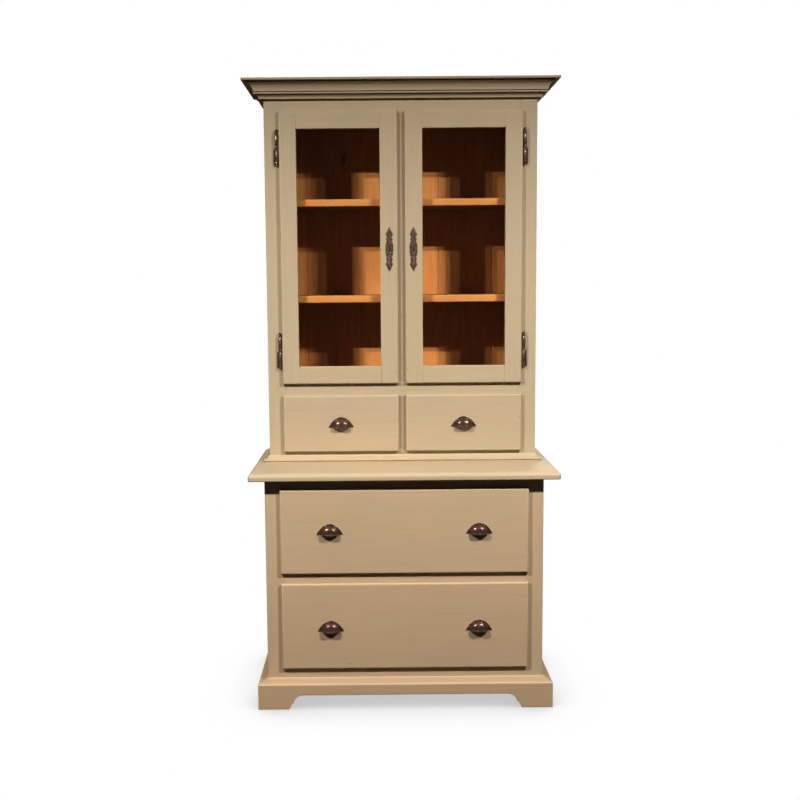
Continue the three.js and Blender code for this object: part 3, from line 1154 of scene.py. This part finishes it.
    def plinth(self) -> None:
        """Makes the plinth as one profile whose lowest points follow the under edge."""
        extent = Extent.of("plinth")
        out = self.base_face - extent.low[1]
        middle = (extent.low[1] + self.back) / 2
        side, side_under = self.stations(self.back - middle)
        front, front_under = self.stations(self.half_width + out)
        # X, Y, the under edge's height, and the way that the profile projects in X and Y.
        left = chain(
            [-self.half_width, self.back, 0, -1, 0],
            grid(-self.half_width, middle - side, side_under, -1, 0),
            [-self.half_width, self.base_face, 0, -1, -1],
        )
        ahead = grid(front, self.base_face, front_under, 0, -1)
        path = chain(left, ahead, left[::-1] * [-1, 1, 1, -1, 1])
        base, under, push = path[:, None, :2], path[:, 2:3], path[:, None, 3:]
        wide, edge, top = out / MM, self.plinth_edge / MM, extent.high[2] / MM
        # Projection and fixed height in millimetres, the share of the under edge, and wear, which
        # is below nought on the slope as painted shade.
        projection, height, share, wear = np.array(
            [
                [0.0, 0.0, 1.0, 0.0],
                [wide - 1.5, 0.0, 1.0, 0.7],
                [wide - 0.4, 0.4, 1.0, 1.0],
                [wide, 1.5, 1.0, 0.4],
                [wide, 4.0, 1.0, 0.0],
                [wide, edge - 5.0, 0.0, 0.0],
                [wide, edge - 2.5, 0.0, 0.4],
                [wide - 0.5, edge - 1.0, 0.0, 1.0],
                [wide - 2.0, edge, 0.0, 0.5],
                [wide - 5.0, edge + 2.0, 0.0, -0.35],
                [7.0, top - 3.0, 0.0, -0.40],
                [4.5, top - 1.2, 0.0, -0.2],
                [3.0, top, 0.0, 0.4],
                [0.0, top, 0.0, 0.0],
            ]
        ).T
        spread = base + push * (projection * MM)[None, :, None]
        rings = grid(spread[..., 0], spread[..., 1], height * MM + under * share)
        # The warmest paint, at the foot: painted warm light from below.
        finish = Paint(Grain.ACROSS, warmth=1.0)
        shell = Shell.loft(rings, wear[None, :])
        make_piece("bracket_plinth", shell, finish, "carcass", ["plinth"], 1.5 * MM)


@dataclass
class LippedEdge:
    """The edge of doors and drawer fronts: rounded, and lapping the frame round its opening."""

    lip: float = 9 * MM
    round_over: float = 5 * MM
    steps: int = 8

    def rounding(self) -> tuple[np.ndarray, np.ndarray]:
        """Depths and insets of a quarter round: both run from the face to the lip's edge."""
        angle = np.radians(np.linspace(0, 90, self.steps + 1))
        return self.round_over * (1 - np.cos(angle)), self.round_over * (1 - np.sin(angle))

    def front(self, node: str, face: float, finish: Finish, body: str) -> None:
        """Makes a drawer front.

        Args:
            node: The front in the frame.
            face: The front of the face frame.
            finish: Its finish.
            body: The body that it moves with.
        """
        extent = Extent.of(node)
        depth, inset = self.rounding()
        lap = face - CLEARANCE - extent.low[1]
        whole = extent.size[1]
        depths = np.concatenate([depth, [lap - 0.6 * MM, lap, lap, whole - 0.8 * MM, whole]])
        insets = np.concatenate([inset, [0.0, 0.6 * MM, self.lip, self.lip, self.lip + 0.8 * MM]])
        # Below nought at the back of the lip, next to the face frame: painted shade in the gap.
        wear = np.concatenate([np.linspace(0.75, 0.0, len(depth)), [-0.6, -0.9, 0.0, 0.0, 0.0]])
        make_piece(f"{node}_board", stack(extent, depths, [insets] * 4, wear), finish, body, [node])


@dataclass
class Door:
    """One glazed door: two stiles, two rails, a glazing bead and its pane."""

    side: Side
    edge: LippedEdge = field(default_factory=LippedEdge)
    outer_stile: float = 58 * MM
    meeting_stile: float = 60 * MM
    top_rail: float = 58 * MM
    bottom_rail: float = 61 * MM
    sight_arris: float = 1.5 * MM
    joint_arris: float = 0.45 * MM
    rebate: float = 8 * MM

    @property
    def body(self) -> str:
        """The body that the door's pieces ride on."""
        return f"{self.side.word}_door"

    def build(self) -> None:
        """Makes the door's wooden pieces and dresses its pane."""
        node = f"{self.body}_frame"
        extent, pane = Extent.of(node), Extent.of(f"{self.body}_glass")
        face = Extent.of(f"upper_{self.side.word}_stile").low[1]
        left, right = (self.outer_stile, self.meeting_stile)[:: -self.side.value]
        (x0, front, z0), (x3, back, z3) = extent.low, extent.high
        x1, x2, z1, z2 = x0 + left, x3 - right, z0 + self.bottom_rail, z3 - self.top_rail
        members = {
            "left_stile": (x0, x1, z0, z3, "lip", "sight", "lip", "lip"),
            "right_stile": (x2, x3, z0, z3, "sight", "lip", "lip", "lip"),
            "bottom_rail": (x1, x2, z0, z1, "joint", "joint", "lip", "sight"),
            "top_rail": (x1, x2, z2, z3, "joint", "joint", "sight", "lip"),
        }
        depth, lip_inset = self.edge.rounding()
        lap, seat = face - CLEARANCE - front, pane.low[1] - front
        depths = np.concatenate([depth, [lap, lap, seat, seat, back - front]])
        rebate = np.array([0, 0, 0, self.rebate, self.rebate])
        insets = {
            "lip": np.concatenate([lip_inset, [0.0] + [self.edge.lip] * 4]),
            "sight": np.concatenate([self.eased(depth, self.sight_arris), rebate]),
            "joint": np.concatenate([self.eased(depth, self.joint_arris), -rebate]),
        }
        # Below nought at the back of the lip, next to the face frame: painted shade in the gap.
        wear = np.concatenate([np.linspace(0.75, 0.0, len(depth)), [-0.9, 0, 0, 0, 0]])
        for name, (low_x, high_x, low_z, high_z, *kinds) in members.items():
            box = Extent.between((low_x, front, low_z), (high_x, back, high_z))
            grain = Grain.UP if "stile" in name else Grain.ACROSS
            shell = stack(box, depths, [insets[kind] for kind in kinds], wear)
            make_piece(f"{self.body}_{name}", shell, Paint(grain), self.body, [node])
        self.beads(Extent.between((x1, pane.high[1], z1), (x2, back, z2)))
        dress_node(f"{self.body}_glass", WindowGlass())

    @staticmethod
    def eased(depth: np.ndarray, arris: float) -> np.ndarray:
        """The inset of a small round arris at each depth: r - sqrt(r^2 - (r - d)^2)."""
        left = np.clip(arris - depth, 0, arris)
        return arris - np.sqrt(arris**2 - left**2)

    def beads(self, sight: Extent) -> None:
        """Makes the glazing bead behind the pane, one section carried round the sight opening.

        Args:
            sight: The sight opening, from the pane's back to the door's back.
        """
        deep = sight.size[1] / MM
        section = chain(
            [0.4, 0.2],
            [7.7, 0.2],
            [7.7, deep],
            [3.5, deep],
            arc((3.5, 0.8), (3.1, deep - 0.8), 90, 180, 5),
        )
        out, y = section.T * MM
        shell = Shell.loft(rectangles(sight, sight.low[1] + y, [-out] * 4), joined=True)
        make_piece(f"{self.body}_glazing_bead", shell, BarePine(Grain.UP), self.body)


@dataclass
class Drawer:
    """One drawer: a lipped front and a box of thin boards."""

    name: str
    face_node: str
    warmth: float
    wall: float
    floor: float
    edge: LippedEdge = field(default_factory=LippedEdge)

    def build(self) -> None:
        """Makes the front and the box."""
        face = Extent.of(self.face_node).low[1]
        finish = Paint(Grain.ACROSS, warmth=self.warmth)
        self.edge.front(f"{self.name}_front", face, finish, self.name)
        self.box()

    def box(self) -> None:
        """Makes two sides, a back and a bottom."""
        node = f"{self.name}_box"
        extent = Extent.of(node)
        (x0, y0, z0), (x1, y1, z1) = extent.low, extent.high
        wall, floor = self.wall, self.floor
        boards = [
            ((x0, y0, z0), (x0 + wall, y1, z1), 0.35),
            ((x1 - wall, y0, z0), (x1, y1, z1), 0.6),
            ((x0 + wall, y1 - wall, z0 + floor), (x1 - wall, y1 - 2 * MM, z1 - 4 * MM), 0.2),
            ((x0 + wall, y0, z0), (x1 - wall, y1 - 1 * MM, z0 + floor), 0.8),
        ]
        shell = Shell.together(
            eased_board(Extent.between(low, high), 0.4 * MM, tone) for low, high, tone in boards
        )
        finish = BarePine(Grain.DEEP, 0.22)
        make_piece(f"{node}_boards", shell, finish, self.name, [node], 0.9 * MM)


@dataclass
class CupPull:
    """A cup pull: an arched flange, a hollow cup open below, and two screws."""

    node: str
    body: str
    cup: tuple[float, float, float] = (31 * MM, 19.8 * MM, 30 * MM)
    flange: tuple[float, float, float] = (43.8 * MM, 34.5 * MM, 1.7 * MM)
    wall: float = 1.7 * MM
    fullness: float = 2.05
    section_power: float = 2 / 2.2
    arch_power: float = 2.3
    lift: float = 0.8 * MM
    peak: tuple[float, float] = (0.7 * MM, 4 * MM)
    screw: tuple[float, float] = (38 * MM, 6 * MM)

    def build(self) -> None:
        """Makes the pull as one piece."""
        extent = Extent.of(self.node)
        place = (extent.middle[0], extent.high[1], extent.low[2])
        shell = Shell.together([self.cup_shell(), self.flange_shell(), *self.screws()])
        shell = shell.moved(place)
        make_piece(f"{self.node}_cup", shell, AgedIron(), self.body, [self.node], sharp=50)

    def arch(self, x: np.ndarray) -> np.ndarray:
        """The flange's height: h (1 - |x / w|^n) and a lift, with a small peak in the middle."""
        half, height, _ = self.flange
        tall, wide = self.peak
        curve = np.clip(1 - np.abs(x / half) ** self.arch_power, 0.0, 1)
        return height * curve + self.lift + tall * np.exp(-((x / wide) ** 2))

    def flange_shell(self) -> Shell:
        """The flange: its arched outline, drawn in a little at the front for a rounded rim."""
        half, height, thick = self.flange
        x = half * np.sin(np.radians(np.linspace(-90, 90, 49)))
        outline = chain(np.column_stack([x, self.arch(x)]), [half, 0], [-half, 0])
        inner = np.array([0.0, height * 0.4])
        scale = np.array([1.0, 1.0, 0.985, 0.955])[:, None, None]
        ring = inner + (outline - inner) * scale
        y = -thick * np.array([0.0, 0.55, 0.88, 1.0])[:, None]
        rings = grid(ring[..., 0], y, ring[..., 1])
        return Shell.loft(rings, np.array([0.2, 0.8, 1.0, 0.3])[:, None])

    def cup_shell(self) -> Shell:
        """The cup. At each x it is a quarter of a superellipse from the flange to the rim.

        The section's size is (1 - |x / a|^n)^(1/n). Its outer line runs from the top of the
        flange to the rim, and its inner line runs back a wall's thickness inside it.
        """
        half, deep, high = self.cup
        x = half * np.sin(np.radians(np.linspace(-89.2, 89.2, 41)))[:, None]
        size = (1 - np.abs(x / half) ** self.fullness) ** (1 / self.fullness)
        angle = np.linspace(0, 90, 15)
        y, z = (f(np.radians(angle)) ** self.section_power for f in (np.sin, np.cos))
        bead = 1 + 0.035 * np.exp(-((90 - angle) / 7.0) ** 2)
        outer_y = -size * deep * (y * bead)
        outer_z = size * high * z
        shrink = 1 - self.wall / np.maximum(size * deep, 2.5 * self.wall)
        section_y = np.hstack([outer_y, outer_y[:, ::-1] * shrink])
        section_z = np.hstack([outer_z, outer_z[:, ::-1] * shrink])
        wear = np.concatenate([np.exp(-((90 - angle) / 10) ** 2), np.zeros(len(angle))])
        return Shell.loft(grid(x, section_y, np.maximum(section_z, 0.0)), wear[None, :])

    def screws(self) -> list[Shell]:
        """Two slotted screws in the flange's ears."""
        x, z = self.screw
        head = screw_head(2.6 * MM, 1.1 * MM, 0.7 * MM)
        rear = 0.1 * MM - self.flange[2]
        return [head.moved((sign * x, rear, z)) for sign in (-1, 1)]


@dataclass
class LockPlate:
    """A long pierced lock plate with leaf lobes, a keyhole and four pins."""

    side: Side
    keyhole: tuple[float, float, float] = (2.9 * MM, 1.5 * MM, 9 * MM)
    shadow: tuple[float, float] = (3.4 * MM, 6.4 * MM)
    dome: float = 0.9 * MM
    relief: float = 0.25 * MM
    waves: float = 28.0
    outline: tuple[tuple[float, float], ...] = (
        (0.0, 1.0), (0.20, 0.97), (0.29, 0.84), (0.35, 0.60), (0.44, 0.86), (0.50, 0.74),
        (0.56, 0.58), (0.62, 0.84), (0.69, 0.94), (0.78, 0.66), (0.88, 0.38), (0.95, 0.20),
        (1.0, 0.0),
    )

    def build(self) -> None:
        """Makes the plate, its pins and a dark sheet of painted shade behind its keyhole."""
        node = f"{self.side.word}_escutcheon"
        extent = Extent.of(node)
        half_wide, thick, half_long = extent.size * [0.5, 1, 0.5]
        middle = (extent.middle[0], extent.high[1], extent.middle[2])
        pin = turned(chain([1.3, 0], arc((0, 0), (1.3, 0.8), 0, 88, 4)) * MM, 10).facing_front()
        pins = [
            pin.moved((0, -thick - 0.3 * MM, sign * share * half_long))
            for sign in (-1, 1)
            for share in (0.34, 0.79)
        ]
        # A near-black sheet behind the keyhole: painted shade in the hole.
        wide, tall = self.shadow
        low = (-wide, -0.2 * MM, -self.keyhole[2] - 0.5 * MM)
        shadow = eased_board(Extent.between(low, (wide, 0.0, tall)), 0.05 * MM)
        shadow.wear = np.full(len(shadow.wear), -1.0)
        shell = Shell.together([self.plate(half_wide, thick, half_long), shadow, *pins])
        body = f"{self.side.word}_door"
        piece = make_piece(f"{node}_plate", shell.moved(middle), AgedIron(), body, [node], sharp=50)
        add_weld(piece, 0.00001)

    def plate(self, half_wide: float, thick: float, half_long: float) -> Shell:
        """The pierced plate, as rings from the keyhole to the outline and round to the back.

        Points run once round the outline. The half width at each height is a smooth line
        through the outline's knots, and the keyhole ring takes the same heights, clamped to
        the keyhole. A narrow slot on the middle line lies between the two.

        Args:
            half_wide: Half the plate's width.
            thick: Its thickness at the edge.
            half_long: Half its length.

        Returns:
            The closed plate, centred on the keyhole, with its back on Y = 0.
        """
        knots = np.array(self.outline)
        share = np.sin(np.radians(np.linspace(-90, 90, 161)))
        fine = np.abs(share)
        spot = np.searchsorted(knots[:, 0], fine, side="right").clip(1, len(knots) - 1)
        before, after = knots[spot - 1], knots[spot]
        blend = (fine - before[:, 0]) / (after[:, 0] - before[:, 0])
        blend = (1 - np.cos(np.pi * np.clip(blend, 0, 1))) / 2
        width = half_wide * (before[:, 1] + (after[:, 1] - before[:, 1]) * blend)
        height = share * half_long
        up = np.concatenate([height, height[-2:0:-1]])
        sign = np.concatenate([np.ones(len(height)), -np.ones(len(height) - 2)])
        reach = np.concatenate([width, width[-2:0:-1]])
        radius, slot, drop = self.keyhole
        hole_z = np.clip(up, -drop, radius * 2)
        round_part = np.sqrt(np.clip(radius**2 - (hole_z - radius) ** 2, 0, None))
        hole_x = np.where(hole_z < radius * 0.4, slot, round_part)
        hole_x = np.where((up <= -drop) | (up >= 2 * radius), 0.0, hole_x)
        narrow = np.minimum(0.5 * MM, reach)
        beside_hole = (up > -drop) & (up < 2 * radius)
        narrow = np.where(beside_hole, np.maximum(hole_x + 0.3 * MM, narrow), narrow)
        front = [(hole_x, hole_z, 0.6), (narrow, up, 1.0)]
        for step in (0.3, 0.55, 0.78, 0.92, 1.0):
            front.append((narrow + (reach - narrow) * step, up, 1 - step**2.6))
        rows = []
        for x, z, crown in front:
            waves = np.cos(z / half_long * self.waves)
            relief = self.relief * waves * (1 - abs(2 * crown - 1))
            rows.append(grid(sign * x, -(thick * 0.75 + self.dome * crown + relief), z))
        for x, z in ((reach, up), (narrow, up), (hole_x, hole_z)):
            rows.append(grid(sign * x, 0.0, z))
        # Below nought at the keyhole's rim and along the plate's outer edge: painted shade where
        # the plate meets the door.
        wear = np.array([-0.2, 0.9, 1.0, 0.5, 0.9, 0.7, -0.5, -0.9, 0.0, 0.0])
        return Shell.loft(np.array(rows), wear[:, None], joined=True)


@dataclass
class Hinge:
    """A pin hinge: two knuckles with turned finials, two leaves, and screws."""

    side: Side
    level: str
    radius: float = 5.4 * MM

    def build(self) -> None:
        """Makes the half that stays on the frame and the half that turns with the door."""
        start = f"{self.side.word}_{self.level}_hinge"
        door = f"{self.side.word}_door"
        fixed, moving = Extent.of(f"{start}_frame"), Extent.of(f"{start}_door")
        half = (moving.high[2] - fixed.low[2]) / 2
        joint = next(j for j in frame["joints"] if j["name"] == f"{door}_hinge")
        centre = np.array([*joint["pos_m"][:2], (fixed.low[2] + moving.high[2]) / 2])
        knuckle = self.knuckle(half)
        still = [knuckle.mirrored(2), *self.leaf(fixed, centre, half)]
        turning = [knuckle, self.tail(moving, centre, half)]
        for end, shells, body in (("frame", still, "carcass"), ("door", turning, door)):
            shell = Shell.together(shells).moved(centre)
            node = f"{start}_{end}"
            make_piece(f"{node}_half", shell, AgedIron(), body, [node], sharp=40)

    def knuckle(self, half: float) -> Shell:
        """The upper knuckle: a barrel with a ring at each end, and a ball finial on a neck."""
        r, long = self.radius / MM, half / MM
        profile = chain(
            [r - 0.4, 0.25],
            [r, 0.7],
            [r, 4.2],
            [r - 0.5, 4.8],
            [r, 5.4],
            [r, long - 17],
            [r - 0.6, long - 16.2],
            [r, long - 15.2],
            [r, long - 12.5],
            [r - 1.6, long - 11.6],
            [2.4, long - 10.4],
            [2.2, long - 9.4],
            arc((0, long - 4.9), (4.6, 4.9), -62, 88, 12),
        )
        shell = turned(profile * MM, 28)
        reach = np.hypot(*shell.points[:, :2].T)
        shell.wear = np.clip(reach / self.radius, 0, 1) * 0.5
        return shell

    def leaf(self, fixed: Extent, centre: np.ndarray, half: float) -> list[Shell]:
        """The frame's leaf, its neck behind the knuckle, and three screws."""
        outward = self.side.value
        reach = (fixed.high[0] if outward > 0 else fixed.low[0]) - centre[0]
        rear = fixed.high[1] - centre[1]
        plate = Extent.between((0.0, rear - 1.2 * MM, -half + 4 * MM), (reach, rear, -4 * MM))
        neck = Extent.between((-1.8 * MM, 1 * MM, -half + 14 * MM), (1.8 * MM, rear, -4 * MM))
        head = screw_head(1.9 * MM, 0.7 * MM, 0.5 * MM)
        screws = [
            head.moved((reach - outward * 2.6 * MM, rear - 1.15 * MM, -half * share))
            for share in (0.22, 0.5, 0.78)
        ]
        return [eased_board(plate, 0.3 * MM), eased_board(neck, 0.2 * MM), *screws]

    def tail(self, moving: Extent, centre: np.ndarray, half: float) -> Shell:
        """The door's leaf, which runs from the knuckle to the edge of the door."""
        inward = -self.side.value
        edge = (moving.high[0] if inward > 0 else moving.low[0]) - centre[0]
        start = (inward * 4.4 * MM, -2.4 * MM, 4 * MM)
        return eased_board(Extent.between(start, (edge, 3.9 * MM, half - 14 * MM)), 0.4 * MM)


@dataclass
class Lock:
    """The iron lock case behind the right door's meeting stile, and the left door's bolts."""

    case: tuple[float, float, float] = (44 * MM, 9 * MM, 70 * MM)
    case_offset: float = -4 * MM
    bolt: tuple[float, float] = (14 * MM, 90 * MM)
    bolt_inset: float = 64 * MM

    def build(self) -> None:
        """Makes the lock case and two sliding bolts."""
        back = Extent.of("right_door_frame").high[1]
        wide, deep, tall = self.case
        x, _, z = Extent.of("right_escutcheon").middle
        x += self.case_offset
        case = Extent.between(
            (x - wide / 2, back, z - tall / 2), (x + wide / 2, back + deep, z + tall / 2)
        )
        head = screw_head(2.4 * MM, 0.9 * MM, 0.6 * MM).mirrored(1)
        heads = [
            head.moved((x + dx * MM, back + deep - 0.1 * MM, z + dz * MM))
            for dx in (-13, 13)
            for dz in (-29, 29)
        ]
        shell = Shell.together([eased_board(case, 1.2 * MM), *heads])
        make_piece("right_door_lock_case", shell, AgedIron(), "right_door", bevel=0.8 * MM)
        door = Extent.of("left_door_frame")
        x = Extent.of("left_escutcheon").middle[0]
        shell = self.sliding_bolt()
        for end, z in (
            ("top", door.high[2] - self.bolt_inset), ("bottom", door.low[2] + self.bolt_inset)
        ):
            place = (x, back, z)
            make_piece(f"left_door_{end}_bolt", shell.moved(place), AgedIron(), "left_door")

    def sliding_bolt(self) -> Shell:
        """A bolt on its plate, centred on the plate's face against the door."""
        wide, tall = self.bolt
        plate = Extent.between((-wide / 2, 0, -tall / 2), (wide / 2, 1.6 * MM, tall / 2))
        end = tall / 2 / MM
        rod = chain([2.2, 4 - end], [2.6, 6 - end], [2.6, end - 6], [2.2, end - 4])
        knob = chain([1.6, 0], [1.6, 5], arc((0, 7), (3.4, 3), -50, 88, 8))
        return Shell.together(
            [
                eased_board(plate, 0.4 * MM),
                turned(rod * MM, 14).moved((0, 4.2 * MM, 0)),
                turned(knob * MM, 16).facing_front().mirrored(1).moved((0, 5 * MM, 0)),
            ]
        )


# ---------------------------------------------------------------- studio


@dataclass(frozen=True)
class Lamp:
    """A lamp, what it aims at, its power and its size."""

    name: str
    place: tuple[float, float, float]
    aim: tuple[float, float, float]
    power: float
    colour: Colour
    size: float
    cone: float = 0.0

    def build(self) -> None:
        """Adds a spot lamp if it has a cone, and a square soft light otherwise."""
        data = bpy.data.lights.new(self.name, "SPOT" if self.cone else "AREA")
        data.energy = self.power
        data.color = self.colour
        if self.cone:
            data.shadow_soft_size = self.size
            data.spot_size = math.radians(self.cone)
            data.spot_blend = 1.0
        else:
            data.shape = "SQUARE"
            data.size = self.size
        lamp = bpy.data.objects.new(self.name, data)
        lamp.location = self.place
        way = Vector(self.aim) - Vector(self.place)
        lamp.rotation_euler = way.to_track_quat("-Z", "Y").to_euler()
        bpy.context.scene.collection.objects.link(lamp)


@dataclass
class Studio:
    """A plain pale floor, a white surround, the lamps and the camera."""

    eye: tuple[float, float, float] = (-0.0875, -3.2459, 1.4150)
    yaw: float = 0.0021
    pitch: float = 0.0956
    roll: float = -0.0082
    lens: float = 42.21
    shift: tuple[float, float] = (0.0267, -0.0331)
    gamma: float = 0.85
    spot_power: float = 777.0
    spot_y: float = -1.80
    spot_aim: tuple[float, float, float] = (0.0, -1.5, -1.55)
    spot_colour: Colour = (1.0, 0.93, 0.83)
    spot_size: float = 0.006
    spot_cone: float = 148.0
    spots: tuple[tuple[float, float, float], ...] = (
        (-1.51, 2.68, 0.13), (-1.67, 2.68, 0.14), (-1.80, 2.80, 0.23), (1.20, 2.80, 0.07),
        (1.43, 2.80, 0.14), (1.55, 2.68, 0.14), (1.73, 2.68, 0.15),
    )

    def lamps(self) -> list[Lamp]:
        """The row of small spots by their X, Z and share, and two soft lights."""
        row = [
            Lamp(
                f"spot_{number}", (x, self.spot_y, z), self.spot_aim, self.spot_power * share,
                self.spot_colour, self.spot_size, self.spot_cone,
            )
            for number, (x, z, share) in enumerate(self.spots)
        ]
        front = Lamp("soft_front", (0.0, -3.4, 2.6), (0.0, 0.0, 1.0), 0.5, (1.0, 0.95, 0.88), 1.8)
        back = Lamp("soft_back", (0.4, 3.0, 2.6), (0.0, 0.0, 1.1), 60.0, (1.0, 0.96, 0.9), 2.0)
        return [*row, front, back]

    def build(self) -> None:
        """Makes the floor, the surround, the lamps and the camera."""
        self.floor()
        self.surround()
        for lamp in self.lamps():
            lamp.build()
        self.camera()
        settings = bpy.context.scene.view_settings
        settings.view_transform = "Standard"
        settings.look = "None"
        settings.gamma = self.gamma

    def floor(self) -> None:
        """Makes a wide floor that is white, with a soft shade close to the cabinet."""
        reach = 40.0
        mesh = bpy.data.meshes.new("floor")
        corners = [(x * reach, y * reach, 0) for x, y in ((-1, -1), (1, -1), (1, 1), (-1, 1))]
        mesh.from_pydata(corners, [], [range(4)])
        made = bpy.data.materials.new("floor")
        made.use_nodes = True
        net = Network(made.node_tree)
        near = net.node("ShaderNodeAmbientOcclusion", {"samples": 12}, {"Distance": 0.22}, "AO")
        shade = net.mix(near.rise(0.20, 0.98), (0.60, 0.60, 0.61), (1.0, 1.0, 1.0))
        glow = net.node("ShaderNodeEmission", None, {"Color": shade, "Strength": 1.0})
        plain = net.node("ShaderNodeBsdfDiffuse", None, {"Color": (0.05, 0.045, 0.04, 1.0)})
        seen = net.node("ShaderNodeLightPath", output="Is Camera Ray")
        both = net.node("ShaderNodeMixShader", None, {0: seen, 1: plain, 2: glow})
        net.node("ShaderNodeOutputMaterial", None, {"Surface": both})
        mesh.materials.append(made)
        floor = bpy.data.objects.new("floor", mesh)
        bpy.context.scene.collection.objects.link(floor)

    def surround(self) -> None:
        """Makes a surround that looks white and lights the cabinet softly."""
        world = bpy.data.worlds.new("surround")
        world.use_nodes = True
        net = Network(world.node_tree)
        seen = net.node("ShaderNodeLightPath", output="Is Camera Ray")
        colour = net.mix(seen, (0.006, 0.006, 0.006), (1.0, 1.0, 1.0))
        light = net.node("ShaderNodeBackground", None, {"Color": colour, "Strength": 1.0})
        net.node("ShaderNodeOutputWorld", None, {"Surface": light})
        bpy.context.scene.world = world

    def camera(self) -> None:
        """Makes the camera from its place and its three turns."""
        data = bpy.data.cameras.new("camera")
        data.lens = self.lens
        data.sensor_width = 36.0
        data.shift_x, data.shift_y = self.shift
        data.clip_start, data.clip_end = 0.05, 200.0
        ahead = Vector((math.sin(self.yaw), math.cos(self.yaw), 0))
        forward = ahead * math.cos(self.pitch) - Vector((0, 0, math.sin(self.pitch)))
        right = Vector((math.cos(self.yaw), -math.sin(self.yaw), 0))
        up = ahead * math.sin(self.pitch) + Vector((0, 0, math.cos(self.pitch)))
        x_axis = right * math.cos(self.roll) + up * math.sin(self.roll)
        y_axis = up * math.cos(self.roll) - right * math.sin(self.roll)
        camera = bpy.data.objects.new("camera", data)
        turn = Matrix((x_axis, y_axis, -forward)).transposed()
        camera.matrix_world = Matrix.Translation(self.eye) @ turn.to_4x4()
        bpy.context.scene.collection.objects.link(camera)
        bpy.context.scene.camera = camera


def main() -> None:
    """Builds every sub-assembly in order."""
    logging.basicConfig(level=logging.INFO, format="%(name)s: %(message)s")
    Carcass().build()
    Mouldings().build()
    for side in Side:
        Door(side).build()
        LockPlate(side).build()
        for level in ("lower", "upper"):
            Hinge(side, level).build()
        name = f"small_drawer_{side.word}"
        Drawer(name, "upper_right_stile", 0.1, 12 * MM, 8 * MM).build()
        CupPull(f"{name}_pull", name).build()
    # Warmer drawers lower down: painted warm light from below.
    for name, warmth in (("upper_wide_drawer", 0.6), ("lower_wide_drawer", 0.8)):
        Drawer(name, "lower_right_stile", warmth, 14 * MM, 9 * MM).build()
        for side in Side:
            CupPull(f"{name}_pull_{side.word}", name).build()
    Lock().build()
    Studio().build()


if __name__ == "__main__":
    main()
